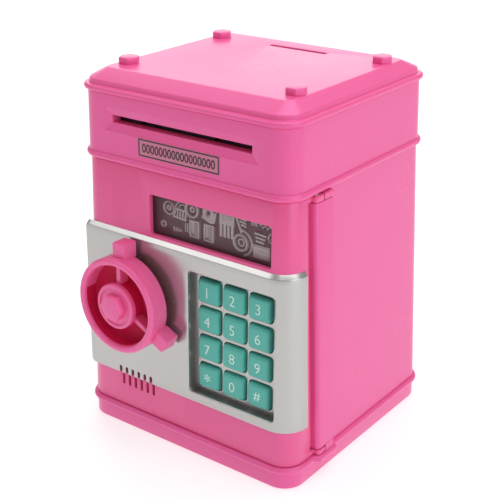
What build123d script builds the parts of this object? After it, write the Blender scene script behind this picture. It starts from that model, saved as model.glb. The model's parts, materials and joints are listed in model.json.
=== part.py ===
from build123d import *
import math
import os

os.makedirs("parts", exist_ok=True)

# Toy safe money box. Millimetres, origin on the ground at the centre of the casing.
# +X is to the right as seen from the front, -Y is the front and +Z is up.

# Casing outline, half sizes. The walls lean inwards by the draft of the moulding.
case_x = 66.0
case_y = 62.1
corner = 11.0
draft = 1.54
wall = 2.6
upper_x = 62.85
upper_y = 59.0
upper_draft = 1.13

# Levels
base_bead_z = 10.3
base_top = 12.0
deck_low = 144.3
deck_top = 147.7
mid_bead_z = 146.0
roof_low = 177.3
roof_neck = 180.2
roof_shoulder = 182.5
roof_top = 186.7
boss_top = 190.0
bead_reach = 1.73

# Door
door_rear = -45.2
door_low = 12.4
door_high = 143.8
door_wall = 2.5
cover_thick = 2.2
pivot_inset = 0.3
pivot_y = -39.0
pin_radius = 1.4
knuckle_radius = 3.2
jamb_front = -44.9
jamb_thick = 1.5

# Places on the door face: x, and s up the face from the base bead
wheel_x = -28.3
wheel_s = 66.8
keys_x = 30.8
keys_s = 57.8
key_pitch = 15.0
key_width = 12.6
key_height = 11.8
recess_x = 31.4
recess_s = 58.05
recess_width = 51.2
recess_height = 63.5
window_x = 16.8
window_s = 112.0
window_width = 71.6
window_height = 20.1
plate_low = 21.3
plate_high = 100.4
plate_thick = 2.0
grille_x = -29.6
grille_s = 19.5

# Latch: a rack on the bolt runs over a pinion on the handwheel's shaft
latch_module = 0.8
pinion_teeth = 12
bolt_front = -18.2
bolt_thick = 4.0
bolt_tip = -53.8
bolt_tail = -11.0
bolt_width = 7.0

# Bill feed
feed_y = -44.0
feed_z = 158.0
feed_radius = 8.0
pinch_radius = 4.5
pinch_z = 170.8
feed_module = 0.8
feed_teeth = 24
motor_teeth = 12
motor_drop = 2.0
cheek_x = 44.2
cheek_thick = 2.4

# Coin slot
coin_y = 35.6
coin_length = 34.5
coin_width = 3.0

lean_tan = math.tan(math.radians(draft))
lean_sin = math.sin(math.radians(draft))
lean_cos = math.cos(math.radians(draft))


def lower_x(z):
    """Half width of the lower casing at height z."""
    return case_x - (z - base_bead_z) * lean_tan


def lower_y(z):
    """Half depth of the lower casing at height z."""
    return case_y - (z - base_bead_z) * lean_tan


def lower_block(low, high, grow=0.0):
    """Solid of the lower casing between two levels, grown or shrunk all round."""
    with BuildPart() as block:
        for z in (low, high):
            with BuildSketch(Plane.XY.offset(z)):
                RectangleRounded(2 * (lower_x(z) + grow), 2 * (lower_y(z) + grow), corner + grow)
        loft(ruled=True)
    return block.part


def upper_block(low, high, grow=0.0):
    """Solid of the upper housing between two levels, grown or shrunk all round."""
    upper_tan = math.tan(math.radians(upper_draft))
    with BuildPart() as block:
        for z in (low, high):
            inset = (z - mid_bead_z) * upper_tan - grow
            with BuildSketch(Plane.XY.offset(z)):
                RectangleRounded(2 * (upper_x - inset), 2 * (upper_y - inset), corner + grow)
        loft(ruled=True)
    return block.part


def slab(x_range, y_range, z_range):
    """Plain box between two corners, for cutting and trimming."""
    size = [high - low for low, high in (x_range, y_range, z_range)]
    middle = [(high + low) / 2 for low, high in (x_range, y_range, z_range)]
    with BuildPart() as block:
        with Locations(tuple(middle)):
            Box(*size)
    return block.part


def door_plane(x, s, h):
    """Plane parallel to the door face, at s up the face and h in front of it."""
    y = -case_y + s * lean_sin - h * lean_cos
    z = base_bead_z + s * lean_cos + h * lean_sin
    return Plane(origin=(x, y, z), x_dir=(1, 0, 0), z_dir=(0, -lean_cos, lean_sin))


def upper_plane(x, s, h):
    """Plane parallel to the upper front wall, at s up the wall and h in front of it."""
    upper_sin = math.sin(math.radians(upper_draft))
    upper_cos = math.cos(math.radians(upper_draft))
    y = -upper_y + s * upper_sin - h * upper_cos
    z = mid_bead_z + s * upper_cos + h * upper_sin
    return Plane(origin=(x, y, z), x_dir=(1, 0, 0), z_dir=(0, -upper_cos, upper_sin))


def pivot_plane(z):
    """Plane across the hinge axis, which leans with the side wall."""
    x = lower_x(z) - pivot_inset
    return Plane(origin=(x, pivot_y, z), x_dir=(0, 1, 0), z_dir=(-lean_sin, 0, lean_cos))


def spur_gear(plane, teeth, module, width, turn, bore):
    """Straight-flanked spur gear with one tooth centred at the angle turn."""
    pitch_radius = module * teeth / 2
    root = pitch_radius - 1.25 * module
    tip = pitch_radius + 0.85 * module
    step = math.pi * module
    flank = ((root - 0.4, 0.28 * step), (pitch_radius, 0.19 * step), (tip, 0.10 * step))
    other_flank = [(x, -y) for x, y in reversed(flank)]
    with BuildPart() as gear:
        with BuildSketch(plane):
            Circle(root)
            with PolarLocations(0, teeth, start_angle=turn):
                Polygon(*flank, *other_flank, align=None)
            Circle(bore, mode=Mode.SUBTRACT)
        extrude(amount=width)
    return gear.part


def screw_solid(plane, length, head=2.8, shank=1.45):
    """Pan-head screw: head standing on the plane, shank going down through it."""
    with BuildPart() as screw:
        with BuildSketch(plane):
            Circle(head)
        extrude(amount=1.9)
        with BuildSketch(plane.offset(1.9)):
            Rectangle(2.6, 0.7)
            Rectangle(0.7, 2.6)
        extrude(amount=-1.0, mode=Mode.SUBTRACT)
        with BuildSketch(plane):
            Circle(shank)
        extrude(amount=-length)
    return screw.part


# Casing

strip_front = -42.4
strip_rear = -28.0
strip_proud = 3.0
strip_top = 141.0
post_x = 59.2
post_rows = (-24.0, 50.0)
deck_post_x = 55.6
deck_rows = (-20.0, 50.0)
roof_posts = ((-55.2, -28.0), (55.2, -28.0), (-44.0, 49.0), (44.0, 49.0))

# Base: plinth, floor and the bead round it, which steps out round the foot of the hinge strip
with BuildPart() as base_tray:
    with BuildSketch(Plane.XY):
        RectangleRounded(2 * case_x, 2 * case_y, corner)
    extrude(amount=base_bead_z)
    with BuildSketch(Plane.XY.offset(base_top - 3.4)):
        RectangleRounded(2 * (case_x + bead_reach), 2 * (case_y + bead_reach), corner + bead_reach)
        with Locations((case_x, (strip_front + strip_rear) / 2)):
            RectangleRounded(2 * (strip_proud + 1.3), strip_rear - strip_front + 3.4, 3.2)
    extrude(amount=3.4)
    bead_faces = base_tray.faces().filter_by(Plane.XY)
    fillet(bead_faces.sort_by(Axis.Z)[-1].outer_wire().edges(), 1.6)
    with BuildSketch(Plane.XY):
        RectangleRounded(2 * (case_x - wall), 2 * (case_y - wall), corner - wall)
    extrude(amount=9.2, mode=Mode.SUBTRACT)
    with BuildSketch(Plane.XY.offset(2.6)):
        with Locations([(x, y) for x in (-post_x, post_x) for y in post_rows]):
            Circle(4.1)
        with Locations([(x, y) for x in (-30, 30) for y in (-40, 40)]):
            Circle(4.1)
    extrude(amount=6.8)
    with BuildSketch(Plane.XY):
        with Locations([(x, y) for x in (-post_x, post_x) for y in post_rows]):
            Circle(1.55)
    extrude(amount=base_top, mode=Mode.SUBTRACT)
    with BuildSketch(Plane.XY.offset(2.0)):
        with Locations([(x, y) for x in (-post_x, post_x) for y in post_rows]):
            Circle(3.0)
    extrude(amount=3.6, mode=Mode.SUBTRACT)
    with BuildSketch(Plane.XY):
        with Locations([(x, y) for x in (-30, 30) for y in (-40, 40)]):
            Circle(1.5)
    extrude(amount=8.0, mode=Mode.SUBTRACT)
    with BuildSketch(pivot_plane(9.2)):
        Circle(pin_radius + 0.02)
    extrude(amount=4.0, mode=Mode.SUBTRACT)
base_tray.part.label = "base_tray"
export_step(base_tray.part, "parts/base_tray.step")

# Flat plate that closes the plinth and is what the money box stands on
with BuildPart() as bottom_plate:
    with BuildSketch(Plane.XY):
        RectangleRounded(2 * (case_x - wall) - 0.4, 2 * (case_y - wall) - 0.4, corner - wall - 0.2)
        with Locations([(x, y) for x in (-30, 30) for y in (-40, 40)]):
            Circle(1.6, mode=Mode.SUBTRACT)
    extrude(amount=2.4)
    with BuildSketch(Plane.XY):
        with Locations([(x, y) for x in (-30, 30) for y in (-40, 40)]):
            Circle(3.2)
    extrude(amount=0.8, mode=Mode.SUBTRACT)
bottom_plate.part.label = "bottom_plate"
export_step(bottom_plate.part, "parts/bottom_plate.step")

with BuildPart() as plate_screws:
    for x in (-30, 30):
        for y in (-40, 40):
            with BuildSketch(Plane.XY.offset(0.1)):
                with Locations((x, y)):
                    Circle(2.9)
            extrude(amount=0.7)
            with BuildSketch(Plane.XY.offset(0.8)):
                with Locations((x, y)):
                    Circle(1.45)
            extrude(amount=6.4)
plate_screws.part.label = "plate_screws"
export_step(plate_screws.part, "parts/plate_screws.step")

# Door jambs: a narrow return inside each side wall
with BuildPart() as jambs:
    add(lower_block(base_top, deck_low, -wall + 0.3))
    add(lower_block(base_top, deck_low, -wall - 6.0), mode=Mode.SUBTRACT)
    add(slab((-70, 70), (jamb_front, jamb_front + jamb_thick), (0, 160)), mode=Mode.INTERSECT)

# Hinge strip on the right wall, with a lower cap above it
side_plane = Plane(origin=(case_x, 0, base_bead_z), x_dir=(0, 1, 0), z_dir=(lean_cos, 0, lean_sin))
up_the_side = Axis((0, 0, 0), (-lean_sin, 0, lean_cos))
strip_middle = (strip_front + strip_rear) / 2
strip_width = strip_rear - strip_front
strip_foot = (base_top - base_bead_z) / lean_cos
strip_head = (strip_top - base_bead_z) / lean_cos
cap_head = (deck_low - base_bead_z) / lean_cos
with BuildPart() as strip:
    with BuildSketch(side_plane.offset(-1.5)):
        with Locations((strip_middle, (strip_foot + strip_head) / 2)):
            Rectangle(strip_width, strip_head - strip_foot - 0.1)
    extrude(amount=1.5 + strip_proud)
    front_edge = strip.edges().filter_by(up_the_side).group_by(Axis.X)[-1].sort_by(Axis.Y)[0]
    fillet(front_edge, 2.6)
    rear_edge = strip.edges().filter_by(up_the_side).sort_by(Axis.Y)[-2:].sort_by(Axis.X)[-1]
    chamfer(rear_edge, 1.4)
with BuildPart() as strip_cap:
    with BuildSketch(side_plane.offset(-1.5)):
        with Locations((strip_middle, (strip_head + cap_head) / 2)):
            Rectangle(strip_width - 1.8, cap_head - strip_head - 0.2)
    extrude(amount=1.5 + strip_proud - 0.9)

# Side and back walls, open at the front, with the hinge strip, jambs and screw posts
with BuildPart() as body_shell:
    add(lower_block(base_top, deck_low))
    add(lower_block(base_top, deck_low, -wall), mode=Mode.SUBTRACT)
    with BuildSketch(Plane.XY.offset(base_top)):
        with Locations([(x, y) for x in (-post_x, post_x) for y in post_rows]):
            Rectangle(9.6, 8.0)
    extrude(amount=14.0)
    with BuildSketch(Plane.XY.offset(deck_low)):
        with Locations([(x, y) for x in (-deck_post_x, deck_post_x) for y in deck_rows]):
            Rectangle(9.6, 8.0)
    extrude(amount=-14.0)
    with BuildSketch(Plane.XY.offset(base_top)):
        with Locations([(x, y) for x in (-post_x, post_x) for y in post_rows]):
            Circle(1.5)
    extrude(amount=10.0, mode=Mode.SUBTRACT)
    with BuildSketch(Plane.XY.offset(deck_low)):
        with Locations([(x, y) for x in (-deck_post_x, deck_post_x) for y in deck_rows]):
            Circle(1.5)
    extrude(amount=-12.4, mode=Mode.SUBTRACT)
    add(slab((-80, 80), (-90, jamb_front), (0, 160)), mode=Mode.SUBTRACT)
    add(jambs.part)
    add(strip.part)
    add(strip_cap.part)
    # Room for the door's knuckles and arms to swing
    for low, high in ((base_top - 1, door_low + 3.2), (strip_top - 0.1, deck_low + 1)):
        middle_x = lower_x((low + high) / 2) - pivot_inset
        x_range = (middle_x - 8.2, middle_x + 8)
        add(slab(x_range, (pivot_y - 8.5, pivot_y + 4.2), (low, high)), mode=Mode.SUBTRACT)
body_shell.part.label = "body_shell"
export_step(body_shell.part, "parts/body_shell.step")

# Steel plate behind the left jamb, where the bolt shoots home
with BuildPart() as strike_plate:
    add(lower_block(66, 100, -wall - 0.1))
    add(lower_block(66, 100, -wall - 6.0), mode=Mode.SUBTRACT)
    strike_front = jamb_front + jamb_thick
    add(slab((-70, 0), (strike_front, strike_front + 0.8), (68, 98)), mode=Mode.INTERSECT)
strike_plate.part.label = "strike_plate"
export_step(strike_plate.part, "parts/strike_plate.step")

# Hinge pins: one stands in the base, one hangs from the upper housing
with BuildPart() as hinge_pins:
    for z in (9.4, 141.2):
        with BuildSketch(pivot_plane(z)):
            Circle(pin_radius)
        extrude(amount=5.7)
hinge_pins.part.label = "hinge_pins"
export_step(hinge_pins.part, "parts/hinge_pins.step")

# Upper housing

slot_s = 19.2
slot_width = 82.6
slot_height = 3.6
funnel_width = 90.8
funnel_height = 11.2
funnel_s = 19.1
funnel_depth = 1.1

with BuildPart() as upper_housing:
    with BuildSketch(Plane.XY.offset(deck_low)):
        RectangleRounded(2 * (upper_x + 1.5), 2 * (upper_y + 1.5), corner + 1.5)
    extrude(amount=deck_top - deck_low)
    fillet(upper_housing.faces().sort_by(Axis.Z)[-1].edges(), 1.6)
    fillet(upper_housing.faces().sort_by(Axis.Z)[0].edges(), 1.6)
    add(upper_block(mid_bead_z, roof_low))
    add(upper_block(deck_top, roof_low + 1, -wall + 0.2), mode=Mode.SUBTRACT)
    with BuildSketch(upper_plane(0, funnel_s, -1.0)):
        Rectangle(funnel_width + 2, funnel_height + 4)
    extrude(amount=-5.5)
    with BuildSketch(upper_plane(0, funnel_s, 0.05)):
        Rectangle(funnel_width, funnel_height)
    with BuildSketch(upper_plane(0, slot_s, -funnel_depth)):
        Rectangle(slot_width, slot_height)
    loft(ruled=True, mode=Mode.SUBTRACT)
    with BuildSketch(upper_plane(0, slot_s, -funnel_depth + 0.2)):
        Rectangle(slot_width, slot_height)
    extrude(amount=-7.0, mode=Mode.SUBTRACT)
    # Openings in the deck for notes and coins, and holes for screws and the hinge pin
    add(slab((-41, 41), (-17, 16), (140, 150)), mode=Mode.SUBTRACT)
    add(slab((-20.3, 20.3), (coin_y - 4.3, coin_y + 4.3), (140, 150)), mode=Mode.SUBTRACT)
    with BuildSketch(Plane.XY.offset(deck_low)):
        with Locations([(x, y) for x in (-deck_post_x, deck_post_x) for y in deck_rows]):
            Circle(1.55)
        with Locations(roof_posts):
            Circle(1.55)
    extrude(amount=deck_top - deck_low, mode=Mode.SUBTRACT)
    with BuildSketch(pivot_plane(deck_low - 1)):
        Circle(pin_radius + 0.02)
    extrude(amount=3.6, mode=Mode.SUBTRACT)
upper_housing.part.label = "upper_housing"
export_step(upper_housing.part, "parts/upper_housing.step")

# Number plate under the note slot
with BuildPart() as serial_plate:
    with BuildSketch(upper_plane(0, 8.8, 0)):
        RectangleRounded(48.6, 8.8, 0.5)
    extrude(amount=0.4)
serial_plate.part.label = "serial_plate"
export_step(serial_plate.part, "parts/serial_plate.step")

# Note deck: guide shelf and two cheeks that carry the rollers and the motor
motor_y = feed_y + math.sqrt((feed_module * (feed_teeth + motor_teeth) / 2) ** 2 - motor_drop**2)
motor_z = feed_z - motor_drop
with BuildPart() as bill_deck:
    add(slab((-cheek_x, cheek_x), (-51.4, -35.0), (163.2, 164.6)))
    for side in (-1, 1):
        middle = side * cheek_x
        add(slab((middle - cheek_thick / 2, middle + cheek_thick / 2), (-51.4, -19.0), (deck_top, 175.4)))
        foot_x = side * (cheek_x - 4)
        add(slab((foot_x - 4, foot_x + 4), (-51.4, -19.0), (deck_top, deck_top + 1.6)))
    for x in (-22, 22):
        add(slab((x - 6, x + 6), (-52, -35.8), (160, 170)), mode=Mode.SUBTRACT)
    for y, z, radius in ((feed_y, feed_z, 1.56), (feed_y, pinch_z, 1.26), (motor_y, motor_z, 3.1)):
        with BuildSketch(Plane(origin=(-60, y, z), x_dir=(0, 1, 0), z_dir=(1, 0, 0))):
            Circle(radius)
        extrude(amount=30 if radius > 3 else 120, mode=Mode.SUBTRACT)
bill_deck.part.label = "bill_deck"
export_step(bill_deck.part, "parts/bill_deck.step")


def across(x, y, z):
    """Plane square to the roller shafts, looking along +X."""
    return Plane(origin=(x, y, z), x_dir=(0, 1, 0), z_dir=(1, 0, 0))


with BuildPart() as feed_shaft:
    with BuildSketch(across(-51.6, feed_y, feed_z)):
        Circle(1.5)
    extrude(amount=98.0)
feed_shaft.part.label = "feed_shaft"
export_step(feed_shaft.part, "parts/feed_shaft.step")

with BuildPart() as feed_rollers:
    for x in (-27, 17):
        with BuildSketch(across(x, feed_y, feed_z)):
            Circle(feed_radius)
            Circle(1.5, mode=Mode.SUBTRACT)
        extrude(amount=10)
feed_rollers.part.label = "feed_rollers"
export_step(feed_rollers.part, "parts/feed_rollers.step")

with BuildPart() as feed_gear:
    add(spur_gear(across(-51.0, feed_y, feed_z), feed_teeth, feed_module, 3.4, 0, 1.5))
feed_gear.part.label = "feed_gear"
export_step(feed_gear.part, "parts/feed_gear.step")

with BuildPart() as pinch_shaft:
    with BuildSketch(across(-46.2, feed_y, pinch_z)):
        Circle(1.2)
    extrude(amount=92.4)
pinch_shaft.part.label = "pinch_shaft"
export_step(pinch_shaft.part, "parts/pinch_shaft.step")

with BuildPart() as pinch_rollers:
    for x in (-27, 17):
        with BuildSketch(across(x, feed_y, pinch_z)):
            Circle(pinch_radius)
            Circle(1.2, mode=Mode.SUBTRACT)
        extrude(amount=10)
pinch_rollers.part.label = "pinch_rollers"
export_step(pinch_rollers.part, "parts/pinch_rollers.step")

with BuildPart() as feed_motor:
    with BuildSketch(across(-42.9, motor_y, motor_z)):
        Circle(8)
        Rectangle(18, 12, mode=Mode.INTERSECT)
    extrude(amount=13.5)
    with BuildSketch(across(-44.4, motor_y, motor_z)):
        Circle(3)
    extrude(amount=1.5)
    with BuildSketch(across(-44.4, motor_y, motor_z)):
        Circle(1.06)
    extrude(amount=8, mode=Mode.SUBTRACT)
feed_motor.part.label = "feed_motor"
export_step(feed_motor.part, "parts/feed_motor.step")

# The motor's pinion meshes with the feed gear: a gap faces the gear's tooth
mesh_angle = math.degrees(math.atan2(-motor_drop, motor_y - feed_y))
gear_phase = mesh_angle % (360 / feed_teeth)
pinion_turn = mesh_angle + 180 + 180 / motor_teeth - gear_phase * feed_teeth / motor_teeth
with BuildPart() as motor_pinion:
    add(spur_gear(across(-50.8, motor_y, motor_z), motor_teeth, feed_module, 3.0, pinion_turn, 0.9))
    with BuildSketch(across(-50.8, motor_y, motor_z)):
        Circle(1.0)
    extrude(amount=13.4)
motor_pinion.part.label = "motor_pinion"
export_step(motor_pinion.part, "parts/motor_pinion.step")

with BuildPart() as sensor_board:
    add(slab((-9, 9), (-34.5, -20.0), (166.0, 167.4)))
    add(slab((-2.5, 2.5), (-33.0, -28.0), (164.9, 166.0)))
    for x in (-7.5, 7.5):
        add(slab((x - 1, x + 1), (-22.5, -20.5), (deck_top, 166.0)))
sensor_board.part.label = "sensor_board"
export_step(sensor_board.part, "parts/sensor_board.step")

with BuildPart() as coin_chute:
    add(slab((-20, 20), (coin_y - 4, coin_y + 4), (143.0, 184.0)))
    add(slab((-24, 24), (coin_y - 8, coin_y + 8), (deck_top, deck_top + 1.6)))
    add(slab((-18, 18), (coin_y - 2.6, coin_y + 2.6), (140, 190)), mode=Mode.SUBTRACT)
coin_chute.part.label = "coin_chute"
export_step(coin_chute.part, "parts/coin_chute.step")

# Roof

boss_places = [(x, y) for x in (-49.3, 49.3) for y in (-36.0, 36.0)]
with BuildPart() as roof_cover:
    with BuildSketch(Plane.XY.offset(roof_low)):
        RectangleRounded(127.8, 120.1, 12.2)
    extrude(amount=roof_neck - roof_low)
    fillet(roof_cover.faces().sort_by(Axis.Z)[-1].edges(), 1.4)
    fillet(roof_cover.faces().sort_by(Axis.Z)[0].edges(), 1.4)
    with BuildSketch(Plane.XY.offset(roof_neck - 1)):
        RectangleRounded(122.4, 114.6, 9.8)
    extrude(amount=roof_shoulder - roof_neck + 1)
    with BuildSketch(Plane.XY.offset(roof_shoulder)):
        RectangleRounded(122.4, 114.6, 9.8)
    with BuildSketch(Plane.XY.offset(roof_top)):
        RectangleRounded(108.8, 96.0, 4.0)
    loft(ruled=True)
    with BuildSketch(Plane.XY.offset(roof_low)):
        RectangleRounded(118.0, 110.4, 8.0)
    extrude(amount=4.8, mode=Mode.SUBTRACT)
    with BuildSketch(Plane.XY.offset(roof_low + 4.7)):
        RectangleRounded(118.0, 110.4, 8.0)
    with BuildSketch(Plane.XY.offset(184.3)):
        RectangleRounded(105.6, 92.4, 4.0)
    loft(ruled=True, mode=Mode.SUBTRACT)
    with BuildSketch(Plane.XY.offset(roof_top)):
        with Locations(boss_places):
            RegularPolygon(radius=5.3, side_count=6)
    extrude(amount=boss_top - roof_top)
    fillet(roof_cover.faces().sort_by(Axis.Z)[-4:].edges(), 0.7)
    with BuildSketch(Plane.XY.offset(roof_top)):
        with Locations((0.2, coin_y)):
            Rectangle(coin_length, coin_width)
    extrude(amount=-4, mode=Mode.SUBTRACT)
    # Posts that the casing screws pull down on the deck
    with BuildSketch(Plane.XY.offset(deck_top)):
        with Locations(roof_posts):
            Circle(3.6)
    extrude(until=Until.NEXT)
    with BuildSketch(Plane.XY.offset(deck_top)):
        with Locations(roof_posts):
            Circle(1.5)
    extrude(amount=12, mode=Mode.SUBTRACT)
roof_cover.part.label = "roof_cover"
export_step(roof_cover.part, "parts/roof_cover.step")

# The same screw holds the base, the deck and the roof
with BuildPart() as case_screws:
    for x in (-post_x, post_x):
        for y in post_rows:
            add(screw_solid(Plane(origin=(x, y, 5.6), z_dir=(0, 0, -1)), 14.0))
    for x in (-deck_post_x, deck_post_x):
        for y in deck_rows:
            add(screw_solid(Plane(origin=(x, y, deck_top), z_dir=(0, 0, 1)), 12.0))
    for x, y in roof_posts:
        add(screw_solid(Plane(origin=(x, y, deck_low), z_dir=(0, 0, -1)), 13.0, 2.6))
case_screws.part.label = "case_screws"
export_step(case_screws.part, "parts/case_screws.step")

# Door

cover_front = door_rear - cover_thick
arm_thick = 2.5
cover_posts = ((-53.5, 22.0), (53.5, 22.0), (-50.5, 137.7), (50.5, 137.7), (-50.5, 58.0))
collar = 1.2
key_plate_front = -3.0
key_plate_thick = 1.6
grille_slots = 6
grille_pitch = 4.1
grille_slot = (1.8, 11.6)

with BuildPart() as door_posts:
    with BuildSketch(Plane(origin=(0, cover_front, 0), x_dir=(1, 0, 0), z_dir=(0, -1, 0))):
        with Locations(cover_posts):
            Circle(3.2)
    extrude(amount=20)
    add(lower_block(door_low, door_high, -0.8), mode=Mode.INTERSECT)

# Front and side walls of the door in one moulding, with hinge arms at top and bottom
with BuildPart() as door_panel:
    add(lower_block(door_low, door_high))
    add(lower_block(door_low + arm_thick, door_high - arm_thick, -door_wall), mode=Mode.SUBTRACT)
    add(slab((-80, 80), (door_rear, 90), (0, 160)), mode=Mode.SUBTRACT)
    add(door_posts.part)
    for low in (door_low, door_high - arm_thick):
        arm_x = lower_x(low + arm_thick / 2) - pivot_inset
        with BuildSketch(Plane.XY.offset(low)):
            with Locations((arm_x - 1.25, pivot_y - 5)):
                Rectangle(3.1, 10)
            with Locations((arm_x, pivot_y)):
                Circle(knuckle_radius)
        extrude(amount=arm_thick)
    with BuildSketch(pivot_plane(0)):
        Circle(pin_radius + 0.06)
    extrude(amount=160, mode=Mode.SUBTRACT)
    with BuildSketch(Plane(origin=(0, door_rear + 1, 0), x_dir=(1, 0, 0), z_dir=(0, -1, 0))):
        with Locations(cover_posts):
            Circle(1.05)
    extrude(amount=10, mode=Mode.SUBTRACT)
    with BuildSketch(door_plane(window_x, window_s, 1)):
        RectangleRounded(window_width, window_height, 1.6)
    extrude(amount=-5, mode=Mode.SUBTRACT)
    with BuildSketch(door_plane(recess_x, recess_s, 1)):
        RectangleRounded(recess_width + 2 * collar + 0.4, recess_height + 2 * collar + 0.4, 2.6)
    extrude(amount=-6, mode=Mode.SUBTRACT)
    with BuildSketch(door_plane(wheel_x, wheel_s, 1)):
        Circle(6.1)
    extrude(amount=-5, mode=Mode.SUBTRACT)
    with BuildSketch(door_plane(grille_x, grille_s, 1)):
        with GridLocations(grille_pitch, 1, grille_slots, 1):
            SlotOverall(grille_slot[1], grille_slot[0], rotation=90)
    extrude(amount=-5, mode=Mode.SUBTRACT)
door_panel.part.label = "door_panel"
export_step(door_panel.part, "parts/door_panel.step")

# Silver fascia: stands proud of the door, wraps its corners and lines the keypad recess
fascia_low = base_bead_z + plate_low * lean_cos
fascia_high = base_bead_z + plate_high * lean_cos
bevel_low = fascia_high - plate_thick + 0.1
with BuildPart() as silver_fascia:
    add(lower_block(fascia_low, bevel_low, plate_thick))
    with BuildSketch(Plane.XY.offset(bevel_low)):
        grown = plate_thick
        RectangleRounded(2 * (lower_x(bevel_low) + grown), 2 * (lower_y(bevel_low) + grown), corner + grown)
    with BuildSketch(Plane.XY.offset(fascia_high)):
        RectangleRounded(2 * lower_x(fascia_high) + 0.4, 2 * lower_y(fascia_high) + 0.4, corner + 0.2)
    loft(ruled=True)
    add(lower_block(fascia_low - 1, fascia_high + 1, 0.02), mode=Mode.SUBTRACT)
    add(slab((-60.6, 80), (-90, -49.6), (0, 160)), mode=Mode.INTERSECT)
    with BuildSketch(door_plane(recess_x, recess_s, plate_thick)):
        RectangleRounded(recess_width + 2 * collar, recess_height + 2 * collar, 2.5)
    extrude(amount=key_plate_front - plate_thick)
    with BuildSketch(door_plane(recess_x, recess_s, plate_thick + 1)):
        RectangleRounded(recess_width, recess_height, 2.0)
    extrude(amount=-8, mode=Mode.SUBTRACT)
    with BuildSketch(door_plane(wheel_x, wheel_s, 4)):
        Circle(6.1)
    extrude(amount=-6, mode=Mode.SUBTRACT)
    with BuildSketch(door_plane(grille_x, grille_s, 4)):
        with GridLocations(grille_pitch, 1, grille_slots, 1):
            SlotOverall(grille_slot[1], grille_slot[0], rotation=90)
    extrude(amount=-6, mode=Mode.SUBTRACT)
silver_fascia.part.label = "silver_fascia"
export_step(silver_fascia.part, "parts/silver_fascia.step")

with BuildPart() as key_plate:
    with BuildSketch(door_plane(recess_x, recess_s, key_plate_front)):
        RectangleRounded(recess_width + 2 * collar, recess_height + 2 * collar, 2.5)
        with Locations((keys_x - recess_x, keys_s - recess_s)):
            with GridLocations(key_pitch, key_pitch, 3, 4):
                RectangleRounded(key_width + 0.6, key_height + 0.6, 1.4, mode=Mode.SUBTRACT)
    extrude(amount=-key_plate_thick)
key_plate.part.label = "key_plate"
export_step(key_plate.part, "parts/key_plate.step")

# Keys, left to right and top to bottom, each with a flange behind the key plate
key_names = ("1", "2", "3", "4", "5", "6", "7", "8", "9", "star", "0", "hash")
key_face = -0.5
flange_front = key_plate_front - key_plate_thick - 0.1
for number, key_name in enumerate(key_names):
    column = number % 3
    row = number // 3
    x = keys_x + (column - 1) * key_pitch
    s = keys_s + (1.5 - row) * key_pitch
    with BuildPart() as key:
        with BuildSketch(door_plane(x, s, flange_front)):
            RectangleRounded(key_width, key_height, 1.1)
        extrude(amount=key_face - flange_front)
        front_rim = key.faces().sort_by(Axis((0, 0, 0), (0, -lean_cos, lean_sin)))[-1].edges()
        fillet(front_rim, 0.8)
        with BuildSketch(door_plane(x, s, flange_front)):
            RectangleRounded(key_width + 1.6, key_height + 1.6, 1.4)
        extrude(amount=-1.0)
    key.part.label = "key_" + key_name
    export_step(key.part, "parts/key_" + key_name + ".step")

with BuildPart() as key_membrane:
    with BuildSketch(door_plane(keys_x, keys_s, -7.8)):
        RectangleRounded(47, 62, 2)
    extrude(amount=-0.9)
    with BuildSketch(door_plane(keys_x, keys_s, -7.8)):
        with GridLocations(key_pitch, key_pitch, 3, 4):
            Circle(3.0)
    extrude(amount=0.5)
key_membrane.part.label = "key_membrane"
export_step(key_membrane.part, "parts/key_membrane.step")

with BuildPart() as keypad_board:
    with BuildSketch(door_plane(keys_x, keys_s, -8.7)):
        Rectangle(50, 64)
    extrude(amount=-1.4)
keypad_board.part.label = "keypad_board"
export_step(keypad_board.part, "parts/keypad_board.step")

with BuildPart() as window_pane:
    with BuildSketch(door_plane(window_x - 0.2, window_s, -2.9)):
        RectangleRounded(window_width + 2.2, window_height + 3, 1.5)
    extrude(amount=-1.2)
window_pane.part.label = "window_pane"
export_step(window_pane.part, "parts/window_pane.step")

# Relief behind the window: wheels, cards and bars raised from one plate
with BuildPart() as relief_plate:
    with BuildSketch(door_plane(window_x - 0.2, window_s, -6.4)):
        Rectangle(window_width + 2.2, window_height + 3)
    extrude(amount=-1.4)
    with BuildSketch(door_plane(window_x, window_s, -6.4)):
        with GridLocations(17.5, 10, 4, 2):
            Circle(4.2)
            Circle(1.6, mode=Mode.SUBTRACT)
    extrude(amount=1.6)
    with BuildSketch(door_plane(window_x, window_s, -6.4)):
        with GridLocations(17.5, 9.4, 3, 2):
            Rectangle(6.4, 7.6)
    extrude(amount=1.0)
relief_plate.part.label = "relief_plate"
export_step(relief_plate.part, "parts/relief_plate.step")

with BuildPart() as speaker:
    with BuildSketch(door_plane(grille_x, grille_s, -2.7)):
        Circle(13.6)
    extrude(amount=-2.4)
    with BuildSketch(door_plane(grille_x, grille_s, -5.1)):
        Circle(8)
    extrude(amount=-3.2)
    with BuildSketch(door_plane(grille_x, grille_s, -2.7)):
        Circle(12)
        Circle(4, mode=Mode.SUBTRACT)
    extrude(amount=-0.8, mode=Mode.SUBTRACT)
speaker.part.label = "speaker"
export_step(speaker.part, "parts/speaker.step")

with BuildPart() as main_board:
    with BuildSketch(door_plane(-22, 47, -10.4)):
        Rectangle(47, 18)
    extrude(amount=-1.4)
    with BuildSketch(door_plane(-22, 47, -10.4)):
        with Locations((-12, 0)):
            Rectangle(10, 10)
        with Locations((8, 2), (16, 2)):
            Rectangle(4, 8)
    extrude(amount=1.6)
main_board.part.label = "main_board"
export_step(main_board.part, "parts/main_board.step")

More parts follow.
